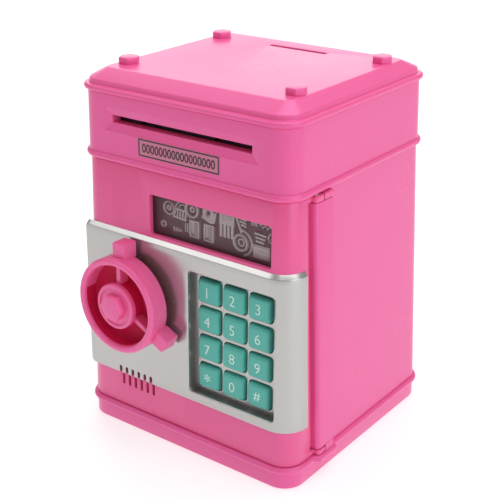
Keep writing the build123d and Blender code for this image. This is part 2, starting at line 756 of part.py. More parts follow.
# Flat cover that closes the back of the door
with BuildPart() as door_back_cover:
    add(lower_block(door_low + arm_thick + 0.2, door_high - arm_thick - 0.2, -door_wall - 0.2))
    add(slab((-80, 80), (cover_front, door_rear), (0, 160)), mode=Mode.INTERSECT)
    with BuildSketch(Plane(origin=(0, door_rear + 1, 0), x_dir=(1, 0, 0), z_dir=(0, -1, 0))):
        with Locations(cover_posts):
            Circle(1.15)
    extrude(amount=10, mode=Mode.SUBTRACT)
    with BuildSketch(door_plane(wheel_x, wheel_s, -10)):
        Circle(3.2)
    extrude(amount=-10, mode=Mode.SUBTRACT)
door_back_cover.part.label = "door_back_cover"
export_step(door_back_cover.part, "parts/door_back_cover.step")

with BuildPart() as cover_screws:
    for x, z in cover_posts:
        screw_seat = Plane(origin=(x, door_rear, z), x_dir=(1, 0, 0), z_dir=(0, 1, 0))
        add(screw_solid(screw_seat, 7.0, 2.3, 1.0))
cover_screws.part.label = "cover_screws"
export_step(cover_screws.part, "parts/cover_screws.step")

# Battery box on the back of the cover, three cells standing side by side
box_x = (1.6, 50.4)
box_z = (21.0, 79.0)
box_rear = -27.2
cell_radius = 7.15
cell_x = (11.0, 26.0, 41.0)
cell_y = -36.6
tab_z = 82.0
with BuildPart() as battery_box:
    add(slab(box_x, (door_rear, box_rear), box_z))
    add(slab((23.0, 29.0), (door_rear, box_rear), (box_z[1] - 1, tab_z + 3)))
    add(slab((box_x[0] + 1.4, box_x[1] - 1.4), (door_rear + 1.3, 0), (23.0, 77.0)), mode=Mode.SUBTRACT)
    with BuildSketch(Plane(origin=(26, box_rear, tab_z), x_dir=(1, 0, 0), z_dir=(0, 1, 0))):
        Circle(1.05)
    extrude(amount=-9, mode=Mode.SUBTRACT)
battery_box.part.label = "battery_box"
export_step(battery_box.part, "parts/battery_box.step")

with BuildPart() as battery_cells:
    for x in cell_x:
        with BuildSketch(Plane(origin=(x, cell_y, 24.6), z_dir=(0, 0, 1))):
            Circle(cell_radius)
        extrude(amount=49.4)
        with BuildSketch(Plane(origin=(x, cell_y, 74.0), z_dir=(0, 0, 1))):
            Circle(2.7)
        extrude(amount=1.2)
battery_cells.part.label = "battery_cells"
export_step(battery_cells.part, "parts/battery_cells.step")

with BuildPart() as battery_contacts:
    for x in cell_x:
        for low in (23.1, 76.2):
            add(slab((x - 4.5, x + 4.5), (cell_y - 4.5, cell_y + 4.5), (low, low + 0.5)))
battery_contacts.part.label = "battery_contacts"
export_step(battery_contacts.part, "parts/battery_contacts.step")

with BuildPart() as battery_cover:
    add(slab(box_x, (box_rear, box_rear + 1.6), box_z))
    add(slab((23.0, 29.0), (box_rear, box_rear + 1.6), (box_z[1] - 1, tab_z + 3)))
    with BuildSketch(Plane(origin=(26, box_rear, tab_z), x_dir=(1, 0, 0), z_dir=(0, 1, 0))):
        Circle(1.15)
    extrude(amount=3, mode=Mode.SUBTRACT)
battery_cover.part.label = "battery_cover"
export_step(battery_cover.part, "parts/battery_cover.step")

with BuildPart() as battery_cover_screw:
    tab_seat = Plane(origin=(26, box_rear + 1.6, tab_z), x_dir=(1, 0, 0), z_dir=(0, 1, 0))
    add(screw_solid(tab_seat, 7.0, 2.3, 1.0))
battery_cover_screw.part.label = "battery_cover_screw"
export_step(battery_cover_screw.part, "parts/battery_cover_screw.step")

# Handwheel and latch

rim_radius = 24.35
rim_bore = 20.6
rim_rear = 5.7
rim_face = 16.5
hub_radius = 11.6
hub_face = 16.8
grip_angles = (90, -28)
grip_middle = 27.4
grip_length = 8.4
grip_width = 7.6
shaft_radius = 2.5
shaft_end = bolt_front - bolt_thick - 1.5

with BuildPart() as wheel_bushing:
    with BuildSketch(door_plane(wheel_x, wheel_s, 3.2)):
        Circle(6.0)
        Circle(shaft_radius + 0.06, mode=Mode.SUBTRACT)
    extrude(amount=-6.0)
    with BuildSketch(door_plane(wheel_x, wheel_s, -2.6)):
        Circle(8.0)
        Circle(shaft_radius + 0.06, mode=Mode.SUBTRACT)
    extrude(amount=-7.4)
wheel_bushing.part.label = "wheel_bushing"
export_step(wheel_bushing.part, "parts/wheel_bushing.step")

# Dished handwheel with two thin spokes and a grip lug at the end of each
with BuildPart() as handwheel:
    with BuildSketch(door_plane(wheel_x, wheel_s, rim_rear)):
        Circle(rim_radius)
    extrude(amount=rim_face - rim_rear)
    outward = Axis((0, 0, 0), (0, -lean_cos, lean_sin))
    fillet(handwheel.faces().sort_by(outward)[-1].edges(), 1.5)
    with BuildSketch(door_plane(wheel_x, wheel_s, rim_face)):
        Circle(rim_bore)
        Circle(hub_radius - 0.6, mode=Mode.SUBTRACT)
    extrude(amount=-8.8, mode=Mode.SUBTRACT)
    with BuildSketch(door_plane(wheel_x, wheel_s, rim_face)):
        Circle(hub_radius)
    extrude(amount=-2.6, mode=Mode.SUBTRACT)
    with BuildSketch(door_plane(wheel_x, wheel_s, rim_face - 3.2)):
        for angle in grip_angles:
            with PolarLocations((rim_bore + hub_radius) / 2, 1, start_angle=angle):
                Rectangle(rim_bore - hub_radius + 3, 2.4)
    extrude(amount=-6)
    with BuildSketch(door_plane(wheel_x, wheel_s, 3.9)):
        for angle in grip_angles:
            with PolarLocations(grip_middle, 1, start_angle=angle):
                RectangleRounded(grip_length, grip_width, 1.0)
    extrude(amount=8.8)
    with BuildSketch(door_plane(wheel_x, wheel_s, 3.6)):
        Circle(9)
    extrude(amount=2.4)
    with BuildSketch(door_plane(wheel_x, wheel_s, 3)):
        Circle(shaft_radius + 0.03)
    extrude(amount=20, mode=Mode.SUBTRACT)
handwheel.part.label = "handwheel"
export_step(handwheel.part, "parts/handwheel.step")

with BuildPart() as wheel_hub_cap:
    with BuildSketch(door_plane(wheel_x, wheel_s, rim_face - 2.6)):
        Circle(hub_radius - 0.05)
    extrude(amount=hub_face - rim_face + 2.6)
    fillet(wheel_hub_cap.faces().sort_by(outward)[-1].edges(), 0.9)
    with BuildSketch(door_plane(wheel_x, wheel_s, hub_face)):
        Circle(hub_radius - 2.1)
    extrude(amount=-0.7, mode=Mode.SUBTRACT)
    with BuildSketch(door_plane(wheel_x, wheel_s, hub_face - 0.7)):
        RegularPolygon(radius=6.9, side_count=6)
    extrude(amount=3.6)
    fillet(wheel_hub_cap.faces().sort_by(outward)[-1].edges(), 0.6)
wheel_hub_cap.part.label = "wheel_hub_cap"
export_step(wheel_hub_cap.part, "parts/wheel_hub_cap.step")

with BuildPart() as wheel_shaft:
    with BuildSketch(door_plane(wheel_x, wheel_s, shaft_end)):
        Circle(shaft_radius)
    extrude(amount=rim_face - 2.8 - shaft_end)
wheel_shaft.part.label = "wheel_shaft"
export_step(wheel_shaft.part, "parts/wheel_shaft.step")

with BuildPart() as wheel_pinion:
    pinion_plane = door_plane(wheel_x, wheel_s, bolt_front - bolt_thick)
    add(spur_gear(pinion_plane, pinion_teeth, latch_module, bolt_thick, 0, shaft_radius))
wheel_pinion.part.label = "wheel_pinion"
export_step(wheel_pinion.part, "parts/wheel_pinion.step")

# Bolt with a rack along its lower edge and a notch for the solenoid's plunger
rack_line = wheel_s + latch_module * pinion_teeth / 2
rack_root = rack_line + 1.25 * latch_module
rack_tip = rack_line - 0.85 * latch_module
rack_step = math.pi * latch_module
rack_teeth = 7
bolt_middle = (bolt_tip + bolt_tail) / 2
notch_x = -22.9
with BuildPart() as latch_bolt:
    with BuildSketch(door_plane(bolt_middle, rack_root + bolt_width / 2, bolt_front)):
        Rectangle(bolt_tail - bolt_tip, bolt_width)
        with Locations((notch_x - bolt_middle, bolt_width / 2)):
            Rectangle(4.8, 5.0, mode=Mode.SUBTRACT)
    extrude(amount=-bolt_thick)
    with BuildSketch(door_plane(wheel_x + 0.5 * rack_step, 0, bolt_front)):
        with Locations([((number - 2) * rack_step, 0) for number in range(rack_teeth)]):
            Polygon(
                (-0.28 * rack_step, rack_root + 0.3),
                (-0.19 * rack_step, rack_line),
                (-0.10 * rack_step, rack_tip),
                (0.10 * rack_step, rack_tip),
                (0.19 * rack_step, rack_line),
                (0.28 * rack_step, rack_root + 0.3),
                align=None,
            )
    extrude(amount=-bolt_thick)
latch_bolt.part.label = "latch_bolt"
export_step(latch_bolt.part, "parts/latch_bolt.step")

# Two saddles carry the bolt behind the cover
guide_low = 69.6
guide_high = 83.4
with BuildPart() as bolt_guides:
    for x, width in ((-46.5, 7.0), (-18.2, 6.4)):
        with BuildSketch(door_plane(x, (guide_low + guide_high) / 2, bolt_front - bolt_thick - 2)):
            Rectangle(width, guide_high - guide_low)
        extrude(amount=12)
    with BuildSketch(door_plane(bolt_middle, 0, bolt_front + 0.2)):
        with Locations((0, (rack_tip + rack_root + bolt_width) / 2)):
            Rectangle(60, rack_root + bolt_width - rack_tip + 0.5)
    extrude(amount=-bolt_thick - 0.4, mode=Mode.SUBTRACT)
    add(slab((-80, 80), (-80, door_rear), (0, 160)), mode=Mode.SUBTRACT)
bolt_guides.part.label = "bolt_guides"
export_step(bolt_guides.part, "parts/bolt_guides.step")

# Solenoid above the bolt, and its plunger
plunger_x = -30.0
plunger_h = bolt_front - bolt_thick / 2
plunger_foot = rack_root + bolt_width + 0.3
solenoid_foot = plunger_foot + 4.0
coil_plane = door_plane(plunger_x, 0, plunger_h)
slide_plane = Plane(origin=coil_plane.origin, x_dir=(1, 0, 0), z_dir=(0, lean_sin, lean_cos))
with BuildPart() as lock_solenoid:
    with BuildSketch(slide_plane.offset(solenoid_foot)):
        with Locations((0, 0.6)):
            Rectangle(13, 12.6)
    extrude(amount=19)
    add(slab((-80, 80), (-80, door_rear), (0, 160)), mode=Mode.SUBTRACT)
    with BuildSketch(slide_plane.offset(solenoid_foot)):
        Circle(2.06)
    extrude(amount=14, mode=Mode.SUBTRACT)
lock_solenoid.part.label = "lock_solenoid"
export_step(lock_solenoid.part, "parts/lock_solenoid.step")

with BuildPart() as solenoid_plunger:
    with BuildSketch(slide_plane.offset(plunger_foot)):
        Circle(2.0)
    extrude(amount=14.5)
solenoid_plunger.part.label = "solenoid_plunger"
export_step(solenoid_plunger.part, "parts/solenoid_plunger.step")
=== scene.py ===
import bpy
import bmesh
import json
import math
from mathutils import Matrix, Vector


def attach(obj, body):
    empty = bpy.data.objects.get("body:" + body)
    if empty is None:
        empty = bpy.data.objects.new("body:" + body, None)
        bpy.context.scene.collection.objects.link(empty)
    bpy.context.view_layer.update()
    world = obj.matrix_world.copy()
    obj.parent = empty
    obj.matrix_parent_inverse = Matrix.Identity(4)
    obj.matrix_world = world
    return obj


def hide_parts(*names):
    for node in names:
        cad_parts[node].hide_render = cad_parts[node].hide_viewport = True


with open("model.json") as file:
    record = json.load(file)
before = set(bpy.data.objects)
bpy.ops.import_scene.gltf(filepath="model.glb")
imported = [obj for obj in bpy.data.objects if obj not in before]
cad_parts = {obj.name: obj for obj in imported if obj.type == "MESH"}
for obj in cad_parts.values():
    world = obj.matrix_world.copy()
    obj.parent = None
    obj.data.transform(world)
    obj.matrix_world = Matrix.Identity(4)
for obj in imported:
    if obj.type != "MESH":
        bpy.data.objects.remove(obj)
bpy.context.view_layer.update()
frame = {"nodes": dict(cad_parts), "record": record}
print("frame loaded:", len(frame["nodes"]), "nodes")

mm = 0.001

# Outline shared by the casing, the door and the fascia: half sizes at the base bead
casing = {
    "halfX": 66.0, "halfY": 62.1, "corner": 11.0, "draft": 1.54,
    "upperX": 62.85, "upperY": 59.0, "upperDraft": 1.13,
    "baseBead": 10.3, "midBead": 146.0, "roofX": 63.9, "roofY": 60.05,
    "wall": 2.6, "doorRear": -45.2, "arcSteps": 14, "sideSteps": 12,
}
leanSin = math.sin(math.radians(casing["draft"]))
leanCos = math.cos(math.radians(casing["draft"]))
leanTan = leanSin / leanCos


# ---- mesh helpers

def newPiece(name, verts, faces, material, body=None, smooth=True, sharpAngle=35):
    mesh = bpy.data.meshes.new(name)
    mesh.from_pydata([tuple(c * mm for c in v) for v in verts], [], faces)
    tidy = bmesh.new()
    tidy.from_mesh(mesh)
    bmesh.ops.remove_doubles(tidy, verts=tidy.verts, dist=1e-7)
    bmesh.ops.recalc_face_normals(tidy, faces=tidy.faces)
    tidy.to_mesh(mesh)
    tidy.free()
    piece = bpy.data.objects.new(name, mesh)
    bpy.context.collection.objects.link(piece)
    piece.data.materials.append(material)
    if smooth:
        smoothByAngle(piece, sharpAngle)
    if body:
        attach(piece, body)
    return piece


def smoothByAngle(piece, angle):
    mesh = piece.data
    mesh.shade_smooth()
    mesh.set_sharp_from_angle(angle=math.radians(angle))


def applyModifiers(piece):
    graph = bpy.context.evaluated_depsgraph_get()
    finished = bpy.data.meshes.new_from_object(piece.evaluated_get(graph))
    piece.modifiers.clear()
    old = piece.data
    piece.data = finished
    bpy.data.meshes.remove(old)


def cutWith(piece, cutters):
    for cutter in cutters:
        cut = piece.modifiers.new("cut", "BOOLEAN")
        cut.operation = "DIFFERENCE"
        cut.object = cutter
        cut.solver = "EXACT"
    bpy.context.view_layer.update()
    applyModifiers(piece)
    for cutter in cutters:
        bpy.data.objects.remove(cutter)


def softenEdges(piece, width, angle=35, segments=2):
    bevel = piece.modifiers.new("soften", "BEVEL")
    bevel.width = width * mm
    bevel.segments = segments
    bevel.limit_method = "ANGLE"
    bevel.angle_limit = math.radians(angle)
    bevel.use_clamp_overlap = True
    bpy.context.view_layer.update()
    applyModifiers(piece)
    smoothByAngle(piece, 35)


def polar(reach, degrees):
    turn = math.radians(degrees)
    return reach * math.cos(turn), reach * math.sin(turn)


def ringFaces(count, rings, closed=True, capStart=True, capEnd=True):
    faces = []
    last = count if closed else count - 1
    for ring in range(rings - 1):
        for i in range(last):
            j = (i + 1) % count
            a, b = ring * count, (ring + 1) * count
            faces.append((a + i, a + j, b + j, b + i))
    if capStart:
        faces.append(tuple(reversed(range(count))))
    if capEnd:
        faces.append(tuple(range((rings - 1) * count, rings * count)))
    return faces


def ringPiece(name, rings, material, body=None, **more):
    # closed rings of equal count, skinned in order and capped at both ends
    verts = [v for ring in rings for v in ring]
    return newPiece(name, verts, ringFaces(len(rings[0]), len(rings)), material, body, **more)


def roundedRing(halfX, halfY, radius, arcSteps=None, sideSteps=None):
    arcSteps = arcSteps or casing["arcSteps"]
    sideSteps = sideSteps or casing["sideSteps"]
    points = []
    corners = ((1, 1, 0), (-1, 1, 90), (-1, -1, 180), (1, -1, 270))
    for index, (signX, signY, start) in enumerate(corners):
        centreX, centreY = signX * (halfX - radius), signY * (halfY - radius)
        for step in range(arcSteps + 1):
            dx, dy = polar(radius, start + 90 * step / arcSteps)
            points.append((centreX + dx, centreY + dy))
        nextX, nextY, nextStart = corners[(index + 1) % 4]
        dx, dy = polar(radius, nextStart)
        far = (nextX * (halfX - radius) + dx, nextY * (halfY - radius) + dy)
        near = points[-1]
        for step in range(1, sideSteps):
            t = step / sideSteps
            points.append((near[0] + (far[0] - near[0]) * t, near[1] + (far[1] - near[1]) * t))
    return points


def lowerHalf(z):
    inset = (z - casing["baseBead"]) * leanTan
    return casing["halfX"] - inset, casing["halfY"] - inset


def upperHalf(z):
    inset = (z - casing["midBead"]) * math.tan(math.radians(casing["upperDraft"]))
    return casing["upperX"] - inset, casing["upperY"] - inset


def upperRing(z, grow=0.0):
    halfX, halfY = upperHalf(z)
    return [(x, y, z) for x, y in roundedRing(halfX + grow, halfY + grow, casing["corner"] + grow)]


def doorPoint(x, s, h):
    # s runs up the door face from the base bead, h stands out of it
    y = -casing["halfY"] + s * leanSin - h * leanCos
    return (x, y, casing["baseBead"] + s * leanCos + h * leanSin)


def upperPoint(x, s, h):
    turn = math.radians(casing["upperDraft"])
    y = -casing["upperY"] + s * math.sin(turn) - h * math.cos(turn)
    return (x, y, casing["midBead"] + s * math.cos(turn) + h * math.sin(turn))


def roundedPlate(width, height, radius, steps=6):
    return roundedRing(width / 2, height / 2, radius, steps, 1)


def stackedPiece(name, outlines, material, body, place, **more):
    # outlines is a list of (points, h): closed loops of equal count, one above another
    verts = [place(x, y, h) for points, h in outlines for x, y in points]
    return newPiece(name, verts, ringFaces(len(outlines[0][0]), len(outlines)), material, body, **more)


def faceBlock(name, centre, size, radius, hRange, material, body=None, place=doorPoint, edge=0.0, **more):
    # a rounded plate lying on a face, with its front edge eased
    cx, cy = centre
    levels = [(0.0, hRange[0]), (0.0, hRange[1])]
    if edge:
        levels = [(0.0, hRange[0])]
        for step in range(5):
            turn = math.radians(90 * step / 4)
            levels.append((-edge * (1 - math.cos(turn)), hRange[1] - edge + edge * math.sin(turn)))
    outlines = []
    for grow, h in levels:
        ring = roundedPlate(size[0] + 2 * grow, size[1] + 2 * grow, max(radius + grow, 0.05))
        outlines.append(([(cx + x, cy + y) for x, y in ring], h))
    return stackedPiece(name, outlines, material, body, place, **more)


def lathe(name, centre, profile, material, body=None, place=doorPoint, steps=96, **more):
    # profile is a list of (radius, h), turned about the axis square to the face
    cx, cy = centre
    outlines = []
    for radius, h in profile:
        ring = [(cx + x, cy + y) for x, y in (polar(radius, 360 * i / steps) for i in range(steps))]
        outlines.append((ring, h))
    return stackedPiece(name, outlines, material, body, place, **more)


def arcProfile(centre, radius, start, end, steps):
    spots = [polar(radius, start + (end - start) * i / steps) for i in range(steps + 1)]
    return [(centre[0] + x, centre[1] + y) for x, y in spots]


def lettering(name, text, size, material, body, place, thickness=0.05, lift=None, weight=0.0):
    # size is (width or None, height) of the whole text; weight thickens or thins the strokes
    curve = bpy.data.curves.new(name, "FONT")
    curve.body = text
    curve.size = 1.0
    curve.offset = weight
    curve.resolution_u = 6
    temp = bpy.data.objects.new(name, curve)
    bpy.context.collection.objects.link(temp)
    bpy.context.view_layer.update()
    flat = bpy.data.meshes.new_from_object(temp.evaluated_get(bpy.context.evaluated_depsgraph_get()))
    bpy.data.objects.remove(temp)
    lows = [min(v.co[i] for v in flat.vertices) for i in range(2)]
    highs = [max(v.co[i] for v in flat.vertices) for i in range(2)]
    midX, midY = (lows[0] + highs[0]) / 2, (lows[1] + highs[1]) / 2
    scaleY = size[1] / (highs[1] - lows[1])
    scaleX = size[0] / (highs[0] - lows[0]) if size[0] else scaleY
    work = bmesh.new()
    work.from_mesh(flat)
    bmesh.ops.triangulate(work, faces=work.faces)
    if lift:
        longEdges = [e for e in work.edges if e.calc_length() * scaleY > 1.2]
        bmesh.ops.subdivide_edges(work, edges=longEdges, cuts=1)
    out = bmesh.ops.extrude_face_region(work, geom=work.faces[:])
    raised = {v for v in out["geom"] if isinstance(v, bmesh.types.BMVert)}
    for v in work.verts:
        x, y = (v.co.x - midX) * scaleX, (v.co.y - midY) * scaleY
        base = lift(x, y) if lift else 0.0
        v.co = Vector(place(x, y, base + (thickness if v in raised else -0.05))) * mm
    bmesh.ops.recalc_face_normals(work, faces=work.faces)
    mesh = bpy.data.meshes.new(name)
    work.to_mesh(mesh)
    work.free()
    piece = bpy.data.objects.new(name, mesh)
    bpy.context.collection.objects.link(piece)
    mesh.materials.append(material)
    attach(piece, body)
    return piece


# ---- surface effects

def addSocket(group, name, way, kind, value=None):
    socket = group.interface.new_socket(name=name, in_out=way, socket_type=kind)
    if value is not None:
        socket.default_value = value
    return socket


def wire(tree, source, target):
    tree.links.new(source, target)


def mathNode(tree, operation, first, second):
    node = tree.nodes.new("ShaderNodeMath")
    node.operation = operation
    for index, value in enumerate((first, second)):
        if isinstance(value, (int, float)):
            node.inputs[index].default_value = value
        else:
            wire(tree, value, node.inputs[index])
    return node.outputs[0]


def makeMouldedGroup():
    # fine spark texture, slow tone drift and a little handling haze on moulded plastic
    group = bpy.data.node_groups.new("mouldedPlastic", "ShaderNodeTree")
    addSocket(group, "Tone", "INPUT", "NodeSocketColor", (0.8, 0.2, 0.4, 1))
    addSocket(group, "Drift", "INPUT", "NodeSocketFloat", 0.05)
    addSocket(group, "Grain Scale", "INPUT", "NodeSocketFloat", 1600)
    addSocket(group, "Roughness Low", "INPUT", "NodeSocketFloat", 0.22)
    addSocket(group, "Roughness High", "INPUT", "NodeSocketFloat", 0.34)
    addSocket(group, "Color", "OUTPUT", "NodeSocketColor")
    addSocket(group, "Roughness", "OUTPUT", "NodeSocketFloat")
    addSocket(group, "Height", "OUTPUT", "NodeSocketFloat")
    start = group.nodes.new("NodeGroupInput")
    end = group.nodes.new("NodeGroupOutput")
    spot = group.nodes.new("ShaderNodeTexCoord")
    slow = group.nodes.new("ShaderNodeTexNoise")
    slow.inputs["Scale"].default_value = 22
    slow.inputs["Detail"].default_value = 3
    grain = group.nodes.new("ShaderNodeTexNoise")
    grain.inputs["Detail"].default_value = 2
    haze = group.nodes.new("ShaderNodeTexNoise")
    haze.inputs["Scale"].default_value = 35
    haze.inputs["Detail"].default_value = 1
    for texture in (slow, grain, haze):
        wire(group, spot.outputs["Object"], texture.inputs["Vector"])
    wire(group, start.outputs["Grain Scale"], grain.inputs["Scale"])
    centred = mathNode(group, "SUBTRACT", slow.outputs["Fac"], 0.5)
    shift = mathNode(group, "MULTIPLY", centred, start.outputs["Drift"])
    value = mathNode(group, "ADD", shift, 1.0)
    tint = group.nodes.new("ShaderNodeHueSaturation")
    wire(group, start.outputs["Tone"], tint.inputs["Color"])
    wire(group, value, tint.inputs["Value"])
    wire(group, tint.outputs["Color"], end.inputs["Color"])
    spread = group.nodes.new("ShaderNodeMapRange")
    spread.interpolation_type = "SMOOTHSTEP"
    spread.inputs["From Min"].default_value = 0.2
    spread.inputs["From Max"].default_value = 0.8
    wire(group, haze.outputs["Fac"], spread.inputs["Value"])
    wire(group, start.outputs["Roughness Low"], spread.inputs["To Min"])
    wire(group, start.outputs["Roughness High"], spread.inputs["To Max"])
    wire(group, spread.outputs["Result"], end.inputs["Roughness"])
    wire(group, grain.outputs["Fac"], end.inputs["Height"])
    return group


def makeDrawnGroup():
    # drawn lines along one direction, for machined and plated steel
    group = bpy.data.node_groups.new("drawnMetal", "ShaderNodeTree")
    addSocket(group, "Tone", "INPUT", "NodeSocketColor", (0.6, 0.6, 0.6, 1))
    addSocket(group, "Along", "INPUT", "NodeSocketVector", (40, 900, 900))
    addSocket(group, "Color", "OUTPUT", "NodeSocketColor")
    addSocket(group, "Roughness", "OUTPUT", "NodeSocketFloat")
    addSocket(group, "Height", "OUTPUT", "NodeSocketFloat")
    start = group.nodes.new("NodeGroupInput")
    end = group.nodes.new("NodeGroupOutput")
    spot = group.nodes.new("ShaderNodeTexCoord")
    stretch = group.nodes.new("ShaderNodeVectorMath")
    stretch.operation = "MULTIPLY"
    wire(group, spot.outputs["Object"], stretch.inputs[0])
    wire(group, start.outputs["Along"], stretch.inputs[1])
    lines = group.nodes.new("ShaderNodeTexNoise")
    lines.inputs["Scale"].default_value = 3
    lines.inputs["Detail"].default_value = 4
    wire(group, stretch.outputs[0], lines.inputs["Vector"])
    shade = group.nodes.new("ShaderNodeMapRange")
    shade.inputs["To Min"].default_value = 0.85
    shade.inputs["To Max"].default_value = 1.1
    wire(group, lines.outputs["Fac"], shade.inputs["Value"])
    tint = group.nodes.new("ShaderNodeHueSaturation")
    wire(group, start.outputs["Tone"], tint.inputs["Color"])
    wire(group, shade.outputs["Result"], tint.inputs["Value"])
    wire(group, tint.outputs["Color"], end.inputs["Color"])
    rough = group.nodes.new("ShaderNodeMapRange")
    rough.inputs["To Min"].default_value = 0.25
    rough.inputs["To Max"].default_value = 0.48
    wire(group, lines.outputs["Fac"], rough.inputs["Value"])
    wire(group, rough.outputs["Result"], end.inputs["Roughness"])
    wire(group, lines.outputs["Fac"], end.inputs["Height"])
    return group


mouldedGroup = makeMouldedGroup()
drawnGroup = makeDrawnGroup()


def startMaterial(name):
    material = bpy.data.materials.new(name)
    material.use_nodes = True
    tree = material.node_tree
    shader = tree.nodes["Principled BSDF"]
    return material, tree, shader


def feedBump(tree, shader, height, strength, distance):
    bump = tree.nodes.new("ShaderNodeBump")
    bump.inputs["Strength"].default_value = strength
    bump.inputs["Distance"].default_value = distance
    wire(tree, height, bump.inputs["Height"])
    wire(tree, bump.outputs["Normal"], shader.inputs["Normal"])


def mouldedMaterial(name, look):
    material, tree, shader = startMaterial(name)
    effect = tree.nodes.new("ShaderNodeGroup")
    effect.node_tree = mouldedGroup
    effect.inputs["Tone"].default_value = (*look["tone"], 1)
    effect.inputs["Drift"].default_value = look.get("drift", 0.03)
    effect.inputs["Grain Scale"].default_value = look.get("grain", 1600)
    effect.inputs["Roughness Low"].default_value = look["rough"][0]
    effect.inputs["Roughness High"].default_value = look["rough"][1]
    wire(tree, effect.outputs["Color"], shader.inputs["Base Color"])
    wire(tree, effect.outputs["Roughness"], shader.inputs["Roughness"])
    shader.inputs["Metallic"].default_value = look.get("metal", 0.0)
    shader.inputs["Specular IOR Level"].default_value = look.get("shine", 0.5)
    shader.inputs["Specular Tint"].default_value = (*look.get("sheen", (1.0, 1.0, 1.0)), 1)
    shader.inputs["Coat Weight"].default_value = look.get("coat", 0.0)
    shader.inputs["Coat Roughness"].default_value = look.get("coatRough", 0.15)
    shader.inputs["Subsurface Weight"].default_value = look.get("glow", 0.0)
    shader.inputs["Subsurface Radius"].default_value = (1.0, 0.35, 0.5)
    shader.inputs["Subsurface Scale"].default_value = 0.002
    feedBump(tree, shader, effect.outputs["Height"], look.get("bump", 0.06), 0.0002)
    return material


def drawnMaterial(name, tone, along=(40, 900, 900)):
    material, tree, shader = startMaterial(name)
    effect = tree.nodes.new("ShaderNodeGroup")
    effect.node_tree = drawnGroup
    effect.inputs["Tone"].default_value = (*tone, 1)
    effect.inputs["Along"].default_value = along
    wire(tree, effect.outputs["Color"], shader.inputs["Base Color"])
    wire(tree, effect.outputs["Roughness"], shader.inputs["Roughness"])
    shader.inputs["Metallic"].default_value = 1.0
    feedBump(tree, shader, effect.outputs["Height"], 0.05, 0.0001)
    return material


def windowMaterial(name):
    material, tree, shader = startMaterial(name)
    spot = tree.nodes.new("ShaderNodeTexCoord")
    smear = tree.nodes.new("ShaderNodeTexNoise")
    smear.inputs["Scale"].default_value = 90
    wire(tree, spot.outputs["Object"], smear.inputs["Vector"])
    spread = tree.nodes.new("ShaderNodeMapRange")
    spread.inputs["To Min"].default_value = 0.03
    spread.inputs["To Max"].default_value = 0.12
    wire(tree, smear.outputs["Fac"], spread.inputs["Value"])
    wire(tree, spread.outputs["Result"], shader.inputs["Roughness"])
    shader.inputs["Base Color"].default_value = (0.22, 0.10, 0.13, 1)
    shader.inputs["Alpha"].default_value = 0.20
    shader.inputs["IOR"].default_value = 1.49
    return material


# Gloss shared by the pink mouldings, with a violet reflection
pinkGloss = {"shine": 0.9, "grain": 420, "bump": 0.006, "glow": 0.10, "sheen": (0.62, 0.52, 1.0)}
looks = {
    "casingPink": {**pinkGloss, "tone": (0.86, 0.110, 0.31), "rough": (0.27, 0.31)},
    "doorPink": {**pinkGloss, "tone": (0.85, 0.108, 0.275), "rough": (0.27, 0.31)},
    "wheelPink": {**pinkGloss, "tone": (0.90, 0.13, 0.33), "rough": (0.25, 0.30)},
    # painted shade: a darker pink for the handwheel's hollow, the same moulding as its rim
    "wheelHollowShade": {"tone": (0.60, 0.012, 0.075), "rough": (0.40, 0.46), "shine": 0.12},
    "innerPink": {"tone": (0.80, 0.12, 0.29), "rough": (0.42, 0.50), "bump": 0.2, "grain": 900},
    "silverPaint": {"tone": (0.50, 0.49, 0.475), "rough": (0.25, 0.30), "metal": 0.85, "bump": 0.008,
                    "grain": 520},
    # painted shade: dark grey for the keypad recess walls, which are silver walls in shade
    "recessShadeGrey": {"tone": (0.15, 0.145, 0.14), "rough": (0.34, 0.42), "metal": 0.5},
    "keyRubber": {"tone": (0.085, 0.46, 0.39), "rough": (0.36, 0.44), "bump": 0.08, "grain": 1900,
                  "glow": 0.1},
    "keyPrint": {"tone": (0.68, 0.86, 0.78), "rough": (0.40, 0.48)},
    "printBlack": {"tone": (0.02, 0.008, 0.014), "rough": (0.40, 0.48)},
    "reliefSilver": {"tone": (0.74, 0.70, 0.68), "rough": (0.30, 0.40), "metal": 0.35, "bump": 0.12,
                     "grain": 1500},
    "reliefGround": {"tone": (0.13, 0.075, 0.085), "rough": (0.40, 0.50), "metal": 0.2},
    "membraneGrey": {"tone": (0.30, 0.31, 0.33), "rough": (0.55, 0.65)},
    "boardGreen": {"tone": (0.02, 0.12, 0.05), "rough": (0.25, 0.38), "drift": 0.2},
    "blackPlastic": {"tone": (0.012, 0.012, 0.014), "rough": (0.38, 0.48)},
    "whiteAcetal": {"tone": (0.75, 0.73, 0.66), "rough": (0.32, 0.40), "glow": 0.2},
    "rollerRubber": {"tone": (0.02, 0.02, 0.022), "rough": (0.60, 0.72), "bump": 0.3, "grain": 1100},
    "cellWrap": {"tone": (0.03, 0.05, 0.16), "rough": (0.22, 0.30), "coat": 0.4},
    "speakerBlack": {"tone": (0.02, 0.02, 0.02), "rough": (0.55, 0.70), "bump": 0.3, "grain": 700},
    "labelPink": {"tone": (0.56, 0.17, 0.27), "rough": (0.36, 0.42)},
}
materials = {name: mouldedMaterial(name, look) for name, look in looks.items()}
materials["steel"] = drawnMaterial("steel", (0.62, 0.62, 0.64))
materials["motorCan"] = drawnMaterial("motorCan", (0.50, 0.50, 0.52), (900, 40, 900))
materials["contactBrass"] = drawnMaterial("contactBrass", (0.70, 0.55, 0.25))
materials["clearWindow"] = windowMaterial("clearWindow")
print("materials made:", len(materials))

